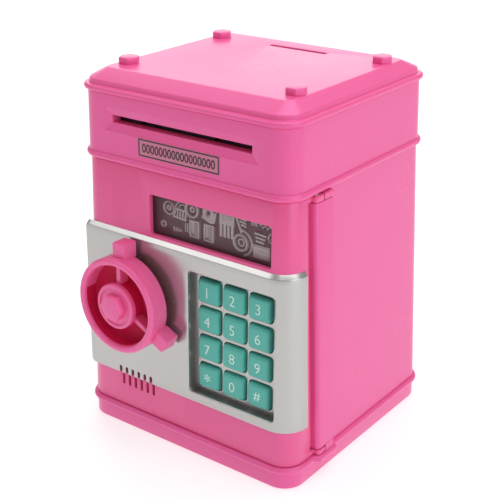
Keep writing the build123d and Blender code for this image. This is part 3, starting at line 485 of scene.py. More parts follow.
slotLook = {
    "casing_pink": "casingPink", "door_pink": "doorPink", "wheel_pink": "wheelPink",
    "inner_pink": "innerPink",
    "silver_paint": "silverPaint", "key_rubber": "keyRubber", "clear_window": "clearWindow",
    "relief_silver": "reliefSilver", "membrane_rubber": "membraneGrey", "board_green": "boardGreen",
    "black_plastic": "blackPlastic", "white_plastic": "whiteAcetal", "roller_rubber": "rollerRubber",
    "steel": "steel", "motor_can": "motorCan", "cell_wrap": "cellWrap", "contact_brass": "contactBrass",
    "speaker_black": "speakerBlack", "label_print": "labelPink",
}
for part in frame["record"]["subparts"]:
    node = frame["nodes"][part["node"]]
    for index in range(len(node.data.materials)):
        node.data.materials[index] = materials[slotLook[part["material_slot"]]]

# ---- camera, light and floor

camera = {
    "azimuth": 37.38, "elevation": 23.01, "distance": 565.0, "aside": -3.27, "aimHeight": 88.33,
    "roll": -0.42, "lens": 78.55,
}
azimuth = math.radians(camera["azimuth"])
elevation = math.radians(camera["elevation"])
roll = math.radians(camera["roll"])
back = Vector((math.sin(azimuth) * math.cos(elevation), -math.cos(azimuth) * math.cos(elevation),
               math.sin(elevation)))
level = Vector((math.cos(azimuth), math.sin(azimuth), 0))
upright = back.cross(level)
rightward = level * math.cos(roll) + upright * math.sin(roll)
upward = upright * math.cos(roll) - level * math.sin(roll)
lensData = bpy.data.cameras.new("camera")
lensData.lens = camera["lens"]
lensData.sensor_width = 36
cameraObject = bpy.data.objects.new("camera", lensData)
bpy.context.collection.objects.link(cameraObject)
aim = level * camera["aside"] + Vector((0, 0, camera["aimHeight"]))
place = (aim + back * camera["distance"]) * mm
facing = Matrix((rightward, upward, back)).transposed().to_4x4()
cameraObject.matrix_world = Matrix.Translation(place) @ facing
bpy.context.scene.camera = cameraObject

studio = {
    "top": {"place": (0.10, 0.10, 0.95), "size": 0.8, "power": 4.5, "aim": (0, 0, 0.1)},
    "right": {"place": (1.10, -0.22, 0.50), "size": 0.8, "power": 4.4, "aim": (0, 0, 0.09),
              "tone": (0.86, 0.98, 1.0)},
    "brow": {"place": (-0.68, -0.50, 1.00), "size": 0.5, "power": 1.6, "aim": (0, -0.06, 0.12)},
    "rear": {"place": (-0.85, 1.05, 0.80), "size": 1.3, "power": 6.5, "aim": (0, 0, 0.15)},
    "worldTone": (1.0, 0.985, 0.99), "worldStrength": 0.38,
    "floorTone": (0.50, 0.50, 0.50), "floorGlow": 0.62,
    "floorSize": 40.0,
}
for name in ("top", "right", "brow", "rear"):
    light = studio[name]
    data = bpy.data.lights.new(name + "Light", "AREA")
    data.size = light["size"]
    data.energy = light["power"]
    data.color = light.get("tone", (1, 1, 1))
    lamp = bpy.data.objects.new(name + "Light", data)
    bpy.context.collection.objects.link(lamp)
    lamp.location = light["place"]
    lamp.rotation_euler = (Vector(light["aim"]) - Vector(light["place"])).to_track_quat("-Z", "Y").to_euler()
world = bpy.data.worlds.new("studio")
bpy.context.scene.world = world
world.use_nodes = True
world.node_tree.nodes["Background"].inputs["Color"].default_value = (*studio["worldTone"], 1)
world.node_tree.nodes["Background"].inputs["Strength"].default_value = studio["worldStrength"]
bpy.context.scene.view_settings.view_transform = "Standard"

floorMaterial, _, floorShader = startMaterial("paleFloor")
floorShader.inputs["Base Color"].default_value = (*studio["floorTone"], 1)
floorShader.inputs["Roughness"].default_value = 0.6
floorShader.inputs["Emission Color"].default_value = (1, 1, 1, 1)
floorShader.inputs["Emission Strength"].default_value = studio["floorGlow"]
half = studio["floorSize"] / 2 / mm
floor = newPiece("floor", [(-half, -half, 0), (half, -half, 0), (half, half, 0), (-half, half, 0)],
                 [(0, 1, 2, 3)], floorMaterial, smooth=False)
floor.location.z = -0.0002
print("camera and lights placed")

# ---- casing

bead = {"radius": 1.70, "reach": 1.73, "steps": 10}


def beadLevels(centre, reach, radius):
    # (z, grow) round a half-round bead
    return [(centre + radius * math.sin(math.radians(t)), reach * math.cos(math.radians(t)))
            for t in [-90 + 180 * i / bead["steps"] for i in range(bead["steps"] + 1)]]


foot = {"stripFront": -42.4, "stripRear": -28.0, "proud": 2.55, "blend": 2.2}


def stepOut(ring, amount):
    # the base bead steps out round the foot of the hinge strip
    out = []
    for x, y, z in ring:
        rise = min(max((y - (foot["stripFront"] - 1.8)) / foot["blend"], 0), 1)
        fall = min(max(((foot["stripRear"] + 1.8) - y) / foot["blend"], 0), 1)
        ease = min(rise, fall)
        ease = ease * ease * (3 - 2 * ease)
        out.append((x + (amount * ease if x > 50 else 0), y, z))
    return out


def denseRing(z, grow):
    halfX, halfY = lowerHalf(casing["baseBead"])
    ring = roundedRing(halfX + grow, halfY + grow, casing["corner"] + grow, None, 90)
    return [(x, y, z) for x, y in ring]


levels = [(0.0, -0.7), (0.25, -0.25), (0.8, 0.0), (7.6, 0.0), (8.3, 0.08)]
levels += beadLevels(casing["baseBead"], bead["reach"], bead["radius"])[1:]
levels += [(12.0, -1.0)]
rings = [stepOut(denseRing(z, grow), foot["proud"] if z > 8 and grow > 0.2 else 0.0) for z, grow in levels]
baseTray = ringPiece("baseTray", rings, materials["casingPink"], "casing")
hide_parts("base_tray")

# Walls behind the door: a U in plan, open to the front
shell = {"front": -44.9, "low": 12.0, "high": 144.3, "jamb": 6.0, "jambThick": 1.5}


def backPath(z, grow, front):
    # outline from the right front edge round the back to the left front edge
    halfX, halfY = lowerHalf(z)
    ring = roundedRing(halfX + grow, halfY + grow, casing["corner"] + grow)
    behind = [(x, y) for x, y in ring if y > front + 1]
    start = max(range(len(behind)), key=lambda i: (behind[i][0] > 0, -behind[i][1]))
    behind = behind[start:] + behind[:start]
    return [(halfX + grow, front)] + behind + [(-halfX - grow, front)]


def shellRing(z, ease):
    outer = backPath(z, -ease, shell["front"] + ease * 0.5)
    inner = backPath(z, -casing["wall"] + ease * 0.3, shell["front"] + ease * 0.5)
    return [(x, y, z) for x, y in outer + inner[::-1]]


rings = [shellRing(z, ease) for z, ease in ((shell["low"], 0.35), (shell["low"] + 0.35, 0.0),
                                            (shell["high"] - 0.3, 0.0), (shell["high"], 0.3))]
bodyShell = ringPiece("bodyShell", rings, materials["casingPink"], "casing")
knuckleRoom = {"y": (-47.5, -34.8), "x": 8.2, "low": (11.0, 15.6), "high": (140.9, 146.0)}


def boxCutter(xRange, yRange, zRange):
    verts = [(x, y, z) for z in zRange for x, y in
             ((xRange[0], yRange[0]), (xRange[1], yRange[0]), (xRange[1], yRange[1]), (xRange[0], yRange[1]))]
    return newPiece("boxCutter", verts, ringFaces(4, 2), materials["casingPink"], smooth=False)


def pivotX(z):
    # the hinge axis lies just inside the wall's outer face
    return lowerHalf(z)[0] - 0.3


def sidePoint(y, up, out):
    # on the right wall: y back, up the wall from the base bead, out of the wall
    x = casing["halfX"] - up * leanSin + out * leanCos
    return (x, y, casing["baseBead"] + up * leanCos + out * leanSin)


def wallBox(yRange, upRange, outRange):
    front, rear = yRange
    inner, outer = outRange
    outline = ((front, inner), (rear, inner), (rear, outer), (front, outer))
    verts = [sidePoint(y, up, out) for up in upRange for y, out in outline]
    return newPiece("wallBox", verts, ringFaces(4, 2), materials["casingPink"], smooth=False)


roomCutters = [wallBox((-46.5, -42.45), (5.3, 130.8), (-1.5, 1.0))]
for low, high in (knuckleRoom["low"], knuckleRoom["high"]):
    middle = pivotX((low + high) / 2)
    roomCutters.append(boxCutter((middle - knuckleRoom["x"], middle + 8), knuckleRoom["y"], (low, high)))
cutWith(bodyShell, roomCutters)
smoothByAngle(bodyShell, 30)
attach(bodyShell, "casing")
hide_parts("body_shell")


# Hinge strip and its cap, drawn as a profile in plan and run up the wall
strip = {
    "front": -42.4, "rear": -28.0, "proud": 2.8, "round": 2.4, "rearSlope": 1.5, "low": 5.35, "high": 130.6,
    "cap": (131.05, 133.6), "foot": (1.8, 5.6), "capProud": 3.0,
    "knuckleY": -39.0, "knuckleClear": 4.2, "knuckle": 3.9, "knuckleInner": 3.2, "knuckleRound": 1.6,
    "pivotIn": 0.3,
}


def stripProfile(front, rear, proud, roundness, slope):
    profile = [(front, -1.2)]
    profile += [(front + roundness - a, proud - roundness + b) for a, b in
                arcProfile((0, 0), roundness, 0, 90, 8)]
    profile += [(rear - slope, proud), (rear - slope * 0.35, proud * 0.72)]
    return profile + [(rear, proud * 0.45), (rear, -1.2)]


def runUp(name, profile, low, high, ease, body):
    count = len(profile)
    verts = []
    for up, inset in ((low, 0.0), (high - ease, 0.0), (high - ease * 0.3, ease * 0.3), (high, ease)):
        for y, out in profile:
            middle = (strip["front"] + strip["rear"]) / 2
            pull = 1 - inset / 7.2
            verts.append(sidePoint(middle + (y - middle) * pull, up, out - (inset if out > 0 else 0)))
    return newPiece(name, verts, ringFaces(count, 4), materials["casingPink"], body)


mainProfile = stripProfile(strip["front"], strip["rear"], strip["proud"], strip["round"], strip["rearSlope"])
hingeStrip = runUp("hingeStrip", mainProfile, strip["low"], strip["high"], 0.5, "casing")


def capOutline(proud):
    # behind the door's knuckle: a hollow front that clears it, then the strip's own back edge
    pivot, inside, reach, rear = strip["knuckleY"], strip["pivotIn"], strip["knuckleClear"], strip["rear"]
    limit = math.degrees(math.acos((proud + inside) / reach))
    outline = [(pivot + reach + 0.05, -1.2)]
    outline += [(pivot + py, px - inside) for px, py in arcProfile((0, 0), reach, 86, limit, 10)]
    outline += [(rear - strip["rearSlope"], proud), (rear - 0.5, proud * 0.72)]
    return outline + [(rear, proud * 0.45), (rear, -1.2)]


stripCap = runUp("hingeStripCap", capOutline(strip["capProud"]), *strip["cap"], 0.25, "casing")
stripFoot = runUp("hingeStripFoot", capOutline(strip["capProud"]), *strip["foot"], 0.1, "casing")

# Jambs inside the door opening
for side in (-1, 1):
    verts = []
    for z in (15.8 if side > 0 else 12.2, 140.7 if side > 0 else 144.0):
        wallX = lowerHalf(z)[0] - casing["wall"] + 0.3
        for x, y in ((wallX, shell["front"]), (wallX - shell["jamb"], shell["front"]),
                     (wallX - shell["jamb"], shell["front"] + shell["jambThick"]),
                     (wallX, shell["front"] + shell["jambThick"])):
            verts.append((side * x, y, z))
    jamb = newPiece("doorJamb" + ("Right" if side > 0 else "Left"), verts, ringFaces(4, 2),
                    materials["casingPink"], "casing", smooth=False)
    softenEdges(jamb, 0.35)
print("lower casing built")

# Screw posts moulded into the walls
posts = {
    "size": (9.6, 8.0),
    "base": (59.2, (-24.0, 50.0), 12.0, 26.0),
    "deck": (55.6, (-20.0, 50.0), 130.3, 144.3),
}
for end in ("base", "deck"):
    postX, rows, low, high = posts[end]
    for side in (-1, 1):
        for y in rows:
            halfX, halfY = posts["size"][0] / 2, posts["size"][1] / 2
            middle = side * postX
            post = boxCutter((middle - halfX, middle + halfX), (y - halfY, y + halfY), (low, high))
            post.name = "screwPost" + end.title() + str(rows.index(y) * 2 + (side > 0))
            softenEdges(post, 0.6)
            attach(post, "casing")

# Upper housing: mid bead, walls, deck and the note mouth
upper = {"rim": 177.3, "floor": 147.7, "wall": 2.4, "reach": 1.48}


def midRing(z, grow):
    outline = roundedRing(casing["upperX"] + grow, casing["upperY"] + grow, casing["corner"] + grow)
    return [(x, y, z) for x, y in outline]


rings = [midRing(144.3, -1.2)]
rings += [midRing(z, grow) for z, grow in beadLevels(casing["midBead"], upper["reach"], bead["radius"])]
rings += [upperRing(148.1), upperRing(upper["rim"] - 0.4), upperRing(upper["rim"], -0.3)]
rings += [upperRing(upper["rim"], -upper["wall"]), upperRing(upper["floor"], -upper["wall"])]
upperHousing = ringPiece("upperHousing", rings, materials["casingPink"])
mouth = {
    "slotS": 19.2, "slotWidth": 82.6, "slotHeight": 3.6, "s": 19.1, "width": 90.8, "height": 11.2,
    "depth": 1.1, "back": 6.4, "round": 0.35,
}


def flaredCutter(centre, size, radius, flare, hTop, hFace, hBottom, place, steps=6):
    # a plug whose mouth widens in a quarter round just under the face
    outlines = []
    levels = [(flare, hTop)]
    levels += [(flare * (1 - math.sin(math.radians(t))), hFace - flare * (1 - math.cos(math.radians(t))))
               for t in (0, 22.5, 45, 67.5, 90)]
    levels += [(0.0, hBottom)]
    for grow, h in levels:
        ring = roundedPlate(size[0] + 2 * grow, size[1] + 2 * grow, radius + grow, steps)
        outlines.append(([(centre[0] + x, centre[1] + y) for x, y in ring], h))
    return stackedPiece("flaredCutter", outlines, materials["casingPink"], None, place, smooth=False)


openings = [
    boxCutter((-41, 41), (-17, 16), (140, 150)),
    boxCutter((-20.3, 20.3), (31.3, 39.9), (140, 150)),
    flaredCutter((0, mouth["s"]), (mouth["width"], mouth["height"]), 0.1, mouth["round"], 3, 0, -4,
                 upperPoint),
]
cutWith(upperHousing, openings)
smoothByAngle(upperHousing, 30)
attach(upperHousing, "casing")
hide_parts("upper_housing")


def rectangleLoop(s, width, height, h, place):
    return [place(x * width / 2, s + y * height / 2, h) for x, y in ((-1, -1), (1, -1), (1, 1), (-1, 1))]


m = mouth
lip = 1.6
loops = [(m["s"], m["width"] + lip, m["height"] + lip, -0.5), (m["s"], m["width"], m["height"], -0.2),
         (m["slotS"], m["slotWidth"] + 0.5, m["slotHeight"] + 0.5, -m["depth"] + 0.1),
         (m["slotS"], m["slotWidth"] + 0.1, m["slotHeight"] + 0.1, -m["depth"] - 0.12),
         (m["slotS"], m["slotWidth"], m["slotHeight"], -m["back"]),
         (m["s"], m["width"] + lip, m["height"] + lip, -m["back"])]
verts = [v for loop in loops for v in rectangleLoop(*loop, upperPoint)]
faces = ringFaces(4, len(loops), capStart=False, capEnd=False)
faces += [(20 + i, 20 + (i + 1) % 4, (i + 1) % 4, i) for i in range(4)]
noteMouth = newPiece("noteMouth", verts, faces, materials["casingPink"], "casing", smooth=False)

# Number plate: plain label, thin black outline and zeros
label = {
    "s": 8.8, "size": (48.6, 8.8), "face": 0.22, "line": 0.62, "margin": 0.5, "digits": 17,
    "digitsSize": (43.6, 4.3),
}
serialPlate = faceBlock("serialPlate", (0, label["s"]), label["size"], 0.5, (-0.2, label["face"]),
                        materials["labelPink"], "casing", upperPoint, edge=0.12)
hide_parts("serial_plate")


def frameOutline(name, centre, size, radius, line, hRange, material, body, place):
    outer = roundedPlate(*size, radius)
    inner = roundedPlate(size[0] - 2 * line, size[1] - 2 * line, max(radius - line, 0.05))
    loops = [(outer, hRange[0]), (outer, hRange[1]), (inner, hRange[1]), (inner, hRange[0])]
    verts = [place(centre[0] + x, centre[1] + y, h) for ring, h in loops for x, y in ring]
    count = len(outer)
    faces = ringFaces(count, 4, capStart=False, capEnd=False)
    faces += [(3 * count + i, 3 * count + (i + 1) % count, (i + 1) % count, i) for i in range(count)]
    return newPiece(name, verts, faces, material, body)


labelLine = frameOutline("serialOutline", (0, label["s"]),
                         (label["size"][0] - label["margin"], label["size"][1] - label["margin"]), 0.4,
                         label["line"], (0.1, 0.28), materials["printBlack"], "casing", upperPoint)
labelDigits = lettering("serialDigits", "0" * label["digits"], label["digitsSize"], materials["printBlack"],
                        "casing", lambda x, y, h: upperPoint(x, label["s"] + y, label["face"] + h), 0.06,
                        weight=0.012)
print("upper housing built")

# Roof: bead, neck and sloping cover with four hexagonal bosses
roof = {
    "low": 177.3, "neck": 180.2, "shoulder": 182.5, "top": 186.7, "bossTop": 190.0,
    "neckHalf": (61.2, 57.3, 9.8), "topHalf": (54.4, 48.0, 4.0), "ceiling": 184.3,
    "bossPlaces": (49.3, 36.0), "bossRadius": 5.3, "slotPlace": (0.2, 35.6), "slotSize": (34.5, 3.0),
}


def roofRing(halfX, halfY, radius, z):
    return [(x, y, z) for x, y in roundedRing(halfX, halfY, radius)]


def slopeRing(t, drop=0.0):
    halfX, halfY, radius = [a + (b - a) * t for a, b in zip(roof["neckHalf"], roof["topHalf"])]
    return roofRing(halfX, halfY, radius, roof["shoulder"] + (roof["top"] - roof["shoulder"]) * t - drop)


rings = [roofRing(52.8, 46.2, 4.0, roof["ceiling"])]
rings += [roofRing(59.0, 55.2, 8.0, z) for z in (182.0, roof["low"])]
rings += [roofRing(casing["roofX"] - 1.4 + reach, casing["roofY"] - 1.4 + reach, 10.8 + reach, z)
          for z, reach in beadLevels((roof["low"] + roof["neck"]) / 2, 1.4, 1.45)]
rings += [roofRing(61.6, 57.7, 10.2, 180.22), roofRing(61.25, 57.35, 9.85, 180.5)]
rings += [roofRing(*roof["neckHalf"], 182.1), roofRing(61.05, 57.1, 9.65, 182.45)]
rings += [slopeRing(0.03), slopeRing(0.06), slopeRing(0.94), slopeRing(0.975, 0.02)]
rings += [roofRing(54.2, 47.75, 3.8, roof["top"] - 0.04)]
rings += [roofRing(53.8, 47.3, 3.4, roof["top"]), roofRing(53.0, 46.5, 2.8, roof["top"])]
roofCover = ringPiece("roofCover", rings, materials["casingPink"])
cutWith(roofCover, [flaredCutter(roof["slotPlace"], roof["slotSize"], 0.3, 0.35, 190, roof["top"], 180,
                                 lambda x, y, h: (x, y, h))])
smoothByAngle(roofCover, 22)
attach(roofCover, "casing")
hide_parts("roof_cover")


def hexBoss(name, centre, radius, low, high, edge, material, body, place):
    outline = [(centre[0] + x, centre[1] + y) for x, y in (polar(radius, 60 * i) for i in range(6))]
    boss = stackedPiece(name, [(outline, low), (outline, high)], material, None, place, smooth=False)
    softenEdges(boss, edge, 35, 4)
    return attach(boss, body)


for side in (-1, 1):
    for row in (-1, 1):
        corner = (side * roof["bossPlaces"][0], row * roof["bossPlaces"][1])
        name = "roofBoss" + ("Front" if row < 0 else "Rear") + ("Left" if side < 0 else "Right")
        boss = hexBoss(name, corner, roof["bossRadius"], roof["top"] - 0.6, roof["bossTop"], 0.7,
                       materials["casingPink"], "casing", lambda x, y, h: (x, y, h))
print("roof built")

# ---- door

door = {
    "low": 12.4, "high": 143.8, "wall": 2.5, "arm": 2.5, "rear": casing["doorRear"],
    "window": (16.8, 112.0), "windowSize": (71.6, 20.1), "recess": (31.4, 58.05), "recessSize": (51.2, 63.5),
    "collar": 1.2, "wheel": (-28.3, 66.8), "grille": (-29.6, 19.5), "grillePitch": 4.1, "grilleSlots": 6,
    "grilleSlot": (1.8, 11.6),
}


def frontPath(z, grow, ease):
    # outline from the left rear edge round the front to the right rear edge
    halfX, halfY = lowerHalf(z)
    ring = roundedRing(halfX + grow, halfY + grow, casing["corner"] + grow)
    ahead = [(x, y) for x, y in ring if y < door["rear"] - 1]
    start = min(range(len(ahead)), key=lambda i: (ahead[i][0] > 0, -ahead[i][1]))
    ahead = ahead[start:] + ahead[:start]
    edge = [(-halfX - grow + ease, door["rear"]), (-halfX - grow, door["rear"] - ease)] + ahead
    return edge + [(halfX + grow, door["rear"] - ease), (halfX + grow - ease, door["rear"])]


rings = []
for z, grow in ((12.4, -0.35), (12.5, -0.1), (12.75, 0), (143.45, 0), (143.7, -0.1), (143.8, -0.35)):
    rings.append([(x, y, z) for x, y in frontPath(z, grow, 0.3)])
doorPanel = ringPiece("doorPanel", rings, materials["doorPink"])
hollow = []
for z in (door["low"] + door["arm"], door["high"] - door["arm"]):
    path = frontPath(z, -door["wall"], 0.0)[1:-1]
    path[0] = (path[0][0], door["rear"] + 6)
    path[-1] = (path[-1][0], door["rear"] + 6)
    hollow.append([(x, y, z) for x, y in path])
hollowCutter = ringPiece("hollowCutter", hollow, materials["doorPink"], smooth=False)
recessOuter = [size + 2 * door["collar"] + 0.4 for size in door["recessSize"]]
slotCentres = [door["grille"][0] + (i - (door["grilleSlots"] - 1) / 2) * door["grillePitch"]
               for i in range(door["grilleSlots"])]


def grilleCutters(hFace, flare):
    slotX, slotS = door["grilleSlot"]
    return [flaredCutter((x, door["grille"][1]), (slotX, slotS), slotX / 2 - 0.01, flare, 4, hFace, -5,
                         doorPoint, 5) for x in slotCentres]


openings = [
    hollowCutter,
    flaredCutter(door["window"], door["windowSize"], 1.3, 0.45, 3, 0, -5, doorPoint),
    flaredCutter(door["recess"], recessOuter, 2.6, 0.01, 3, 0, -5, doorPoint),
    flaredCutter(door["wheel"], (12.2, 12.2), 6.05, 0.01, 3, 0, -5, doorPoint, 10),
] + grilleCutters(0, 0.01)
cutWith(doorPanel, openings)
smoothByAngle(doorPanel, 30)
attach(doorPanel, "door")
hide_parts("door_panel")

for end, low in (("Low", door["low"]), ("High", door["high"] - door["arm"])):
    x = pivotX(low + door["arm"] / 2)
    wallX = x + strip["pivotIn"]
    outer, turnBack, bend = strip["capProud"] + strip["pivotIn"], strip["knuckle"], strip["knuckleRound"]
    limit = math.degrees(math.acos(outer / turnBack))
    outline = [(x - 2.8, -49.0), (wallX, -49.0), (wallX, strip["front"])]
    outline += arcProfile((x + outer - bend, strip["front"] + bend), bend, -90, 0, 6)
    outline += arcProfile((x, strip["knuckleY"]), turnBack, limit, 150.0, 18)
    outline += arcProfile((x, strip["knuckleY"]), strip["knuckleInner"], 160.0, 209.0, 6)
    rings = [[(px, py, z) for px, py in outline] for z in (low, low + door["arm"])]
    arm = ringPiece("doorKnuckle" + end, rings, materials["doorPink"], smooth=False)
    softenEdges(arm, 0.3)
    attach(arm, "door")
print("door built")

# Fascia: a proud silver skin that wraps the door's right corner
fascia = {
    "left": -60.6, "rear": -49.6, "low": 21.3, "high": 100.4, "proud": 2.0, "cornerRound": 2.6, "bevel": 1.9,
    "ease": 0.45, "inner": 0.02,
}


def fasciaPath():
    # stations from the left end: distance along the front, angle round the corner, distance down the side
    stations = []
    straight = casing["halfX"] - casing["corner"]
    length = straight - fascia["left"]
    marks = [0, 0.15, 0.4, 0.8, 1.3, 1.9, 2.6] + [2.6 + (length - 2.6) * i / 40 for i in range(1, 41)]
    stations += [("front", distance) for distance in marks]
    stations += [("corner", angle) for angle in [90 * i / 20 for i in range(1, 21)]]
    side = (casing["halfY"] - casing["corner"]) + fascia["rear"]
    stations += [("side", side * i / 3) for i in range(1, 4)]
    return stations


def fasciaPoint(station, z, offset):
    kind, value = station
    halfX, halfY = lowerHalf(z)
    if kind == "front":
        return (fascia["left"] + value * (halfX - casing["corner"] - fascia["left"]) /
                (casing["halfX"] - casing["corner"] - fascia["left"]), -halfY - offset, z)
    centre = (halfX - casing["corner"], -halfY + casing["corner"])
    if kind == "corner":
        dx, dy = polar(casing["corner"] + offset, -90 + value)
        return (centre[0] + dx, centre[1] + dy, z)
    share = value / ((casing["halfY"] - casing["corner"]) + fascia["rear"])
    return (halfX + offset, centre[1] + (fascia["rear"] - centre[1]) * share, z)


def fasciaSection(station):
    lift = 0.0
    if station[0] == "front" and station[1] < fascia["cornerRound"]:
        gap = fascia["cornerRound"] - station[1]
        lift = fascia["cornerRound"] - math.sqrt(max(fascia["cornerRound"] ** 2 - gap ** 2, 0))
    low = casing["baseBead"] + fascia["low"] * leanCos + lift
    high = casing["baseBead"] + fascia["high"] * leanCos - lift * 0.5
    out = fascia["proud"]
    if station[0] == "front" and station[1] < 0.45:
        out -= 0.45 - math.sqrt(max(0.45 ** 2 - (0.45 - station[1]) ** 2, 0))
    ease, bevel = fascia["ease"], fascia["bevel"]
    section = [(low, fascia["inner"]), (low, out - ease)]
    section += [(low + ease * 0.3, out - ease * 0.3), (low + ease, out)]
    steps = 24
    flat = high - bevel - 0.3 - low - ease
    section += [(low + ease + flat * i / steps, out) for i in range(1, steps + 1)]
    section += [(high - bevel + 0.1, out - 0.12), (high - 0.15, max(out - bevel + 0.12, 0.3)), (high, 0.12)]
    section += [(high, fascia["inner"])]
    return [fasciaPoint(station, z, offset) for z, offset in section]


sections = [fasciaSection(station) for station in fasciaPath()]
silverFascia = ringPiece("silverFascia", sections, materials["silverPaint"])
openings = [
    flaredCutter(door["recess"], door["recessSize"], 2.0, 0.7, 5, fascia["proud"], -5, doorPoint),
    flaredCutter(door["wheel"], (12.2, 12.2), 6.05, 0.01, 5, fascia["proud"], -5, doorPoint, 10),
] + grilleCutters(fascia["proud"], 0.25)
cutWith(silverFascia, openings)
smoothByAngle(silverFascia, 24)
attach(silverFascia, "door")
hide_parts("silver_fascia")

# The recess liner is coloured dark grey: painted shade on the silver recess walls
inner, outer = door["recessSize"], [size + 2 * door["collar"] for size in door["recessSize"]]
loops = [(outer, 2.5, 0.1), (inner, 2.0, 0.1), (inner, 2.0, -3.0), (outer, 2.5, -3.0)]
verts = []
for size, radius, h in loops:
    outline = roundedPlate(*size, radius)
    verts += [doorPoint(door["recess"][0] + x, door["recess"][1] + y, h) for x, y in outline]
count = len(verts) // 4
faces = ringFaces(count, 4, capStart=False, capEnd=False)
faces += [(3 * count + i, 3 * count + (i + 1) % count, (i + 1) % count, i) for i in range(count)]
keypadLiner = newPiece("keypadLiner", verts, faces, materials["recessShadeGrey"], "door")

# Keypad: plate with softly rounded holes and twelve pillowed keys
keypad = {
    "centre": (30.8, 57.8), "pitch": 15.0, "key": (12.6, 11.8), "gap": 0.3, "plateFront": -3.0,
    "plateThick": 1.6, "holeRound": 0.75, "keyFace": -0.52, "crown": 0.45, "keyCorner": 1.6,
    "digit": 5.2, "star": 4.2, "hash": 4.6, "markShift": (-0.3, -0.1),
}
plateSize = [size + 2 * door["collar"] - 0.2 for size in door["recessSize"]]
keyPlate = faceBlock("keyPlate", door["recess"], plateSize, 2.4, (keypad["plateFront"] - keypad["plateThick"],
                     keypad["plateFront"]), materials["silverPaint"])
keyPlaces = {}
for index, name in enumerate(("1", "2", "3", "4", "5", "6", "7", "8", "9", "star", "0", "hash")):
    column, row = index % 3, index // 3
    keyPlaces[name] = (keypad["centre"][0] + (column - 1) * keypad["pitch"],
                       keypad["centre"][1] + (1.5 - row) * keypad["pitch"])
hole = [size + 2 * keypad["gap"] for size in keypad["key"]]
cutWith(keyPlate, [flaredCutter(spot, hole, 1.6, keypad["holeRound"], 0, keypad["plateFront"], -6, doorPoint)
                   for spot in keyPlaces.values()])
smoothByAngle(keyPlate, 30)
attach(keyPlate, "door")
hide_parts("key_plate")


def crown(x, y):
    # height of the key's pillowed face over its middle
    halfX, halfY = keypad["key"][0] / 2, keypad["key"][1] / 2
    return -keypad["crown"] * (abs(x / halfX) ** 2.6 + abs(y / halfY) ** 2.6) / 2


def keyPiece(name, spot):
    halfX, halfY = keypad["key"][0] / 2, keypad["key"][1] / 2
    face = keypad["keyFace"]
    outlines = []
    side = [(0.0, -4.65), (0.0, face - 1.75), (0.1, face - 1.2), (0.3, face - 0.82), (0.6, face - 0.58)]
    for inset, h in [(-0.75, -5.7), (-0.75, -4.75)] + side:
        ring = roundedRing(halfX - inset, halfY - inset, keypad["keyCorner"] - inset * 0.4, 8, 8)
        outlines.append([(spot[0] + x, spot[1] + y, h) for x, y in ring])
    for share in (0.86, 0.76, 0.62, 0.47, 0.32, 0.17, 0.05):
        ring = roundedRing(halfX * share, halfY * share, keypad["keyCorner"] * share, 8, 8)
        outlines.append([(spot[0] + x, spot[1] + y, face + crown(x, y)) for x, y in ring])
    verts = [doorPoint(x, y, h) for ring in outlines for x, y, h in ring]
    return newPiece("key" + name.title(), verts, ringFaces(len(outlines[0]), len(outlines)),
                    materials["keyRubber"], "key_" + name, sharpAngle=60)


for name, spot in keyPlaces.items():
    key = keyPiece(name, spot)
    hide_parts("key_" + name)
    text = {"star": "*", "hash": "#"}.get(name, name)
    height = keypad.get(name, keypad["digit"])
    shiftX, shiftY = keypad["markShift"]
    markX, markY = spot[0] + shiftX, spot[1] + shiftY
    mark = lettering("keyMark" + name.title(), text, (None, height), materials["keyPrint"], "key_" + name,
                     lambda x, y, h: doorPoint(markX + x, markY + y, keypad["keyFace"] + h), 0.03,
                     lambda x, y: crown(x + shiftX, y + shiftY), 0.0 if name in ("star", "hash") else -0.006)
print("keypad built")

# Window: tinted pane over a silvered relief of wheels, louvres and bars
window = {
    "centre": (door["window"][0] - 0.2, door["window"][1]), "pane": (73.8, 23.1), "paneH": (-4.1, -2.9),
    "reliefH": -6.4, "plateThick": 1.4,
}
windowPane = faceBlock("windowPane", window["centre"], window["pane"], 1.5, window["paneH"],
                       materials["clearWindow"], "door", edge=0.15)
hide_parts("window_pane")
reliefPlate = faceBlock("reliefPlate", window["centre"], window["pane"], 0.5,
                        (window["reliefH"] - window["plateThick"], window["reliefH"]),
                        materials["reliefGround"], "door")
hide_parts("relief_plate")


def windowSpot(u, v):
    # u across and v up the window, each from 0 to 1
    (centreX, centreS), (width, height) = door["window"], door["windowSize"]
    return (centreX + (u - 0.5) * width, centreS + (v - 0.5) * height)


reliefCount = 0


def raised(outline, height=1.0, base=0.0, edge=0.18):
    # a low boss with eased edges standing on the relief plate, its outline in the door's own frame
    global reliefCount
    reliefCount += 1
    low = window["reliefH"] + base
    middle = (sum(p[0] for p in outline) / len(outline), sum(p[1] for p in outline) / len(outline))

    def pulled(amount):
        out = []
        for x, y in outline:
            dx, dy = x - middle[0], y - middle[1]
            reach = math.hypot(dx, dy) or 1
            out.append((x - dx / reach * amount, y - dy / reach * amount))
        return out

    levels = [(outline, low - 0.1), (outline, low + height - edge), (pulled(edge), low + height)]
    piece = stackedPiece("relief" + str(reliefCount), levels, materials["reliefSilver"], "door", doorPoint,
                         sharpAngle=25)
    return piece


def bar(centre, size, turn=0.0, height=0.9, base=0.0, lean=0.0):
    # a slim bar; lean shears it sideways
    turn = math.radians(turn)
    outline = []
    for sx, sy in ((-1, -1), (1, -1), (1, 1), (-1, 1)):
        x, y = sx * size[0] / 2 + sy * size[1] / 2 * lean, sy * size[1] / 2
        outline.append((centre[0] + x * math.cos(turn) - y * math.sin(turn),
                        centre[1] + x * math.sin(turn) + y * math.cos(turn)))
    return raised(outline, height, base)


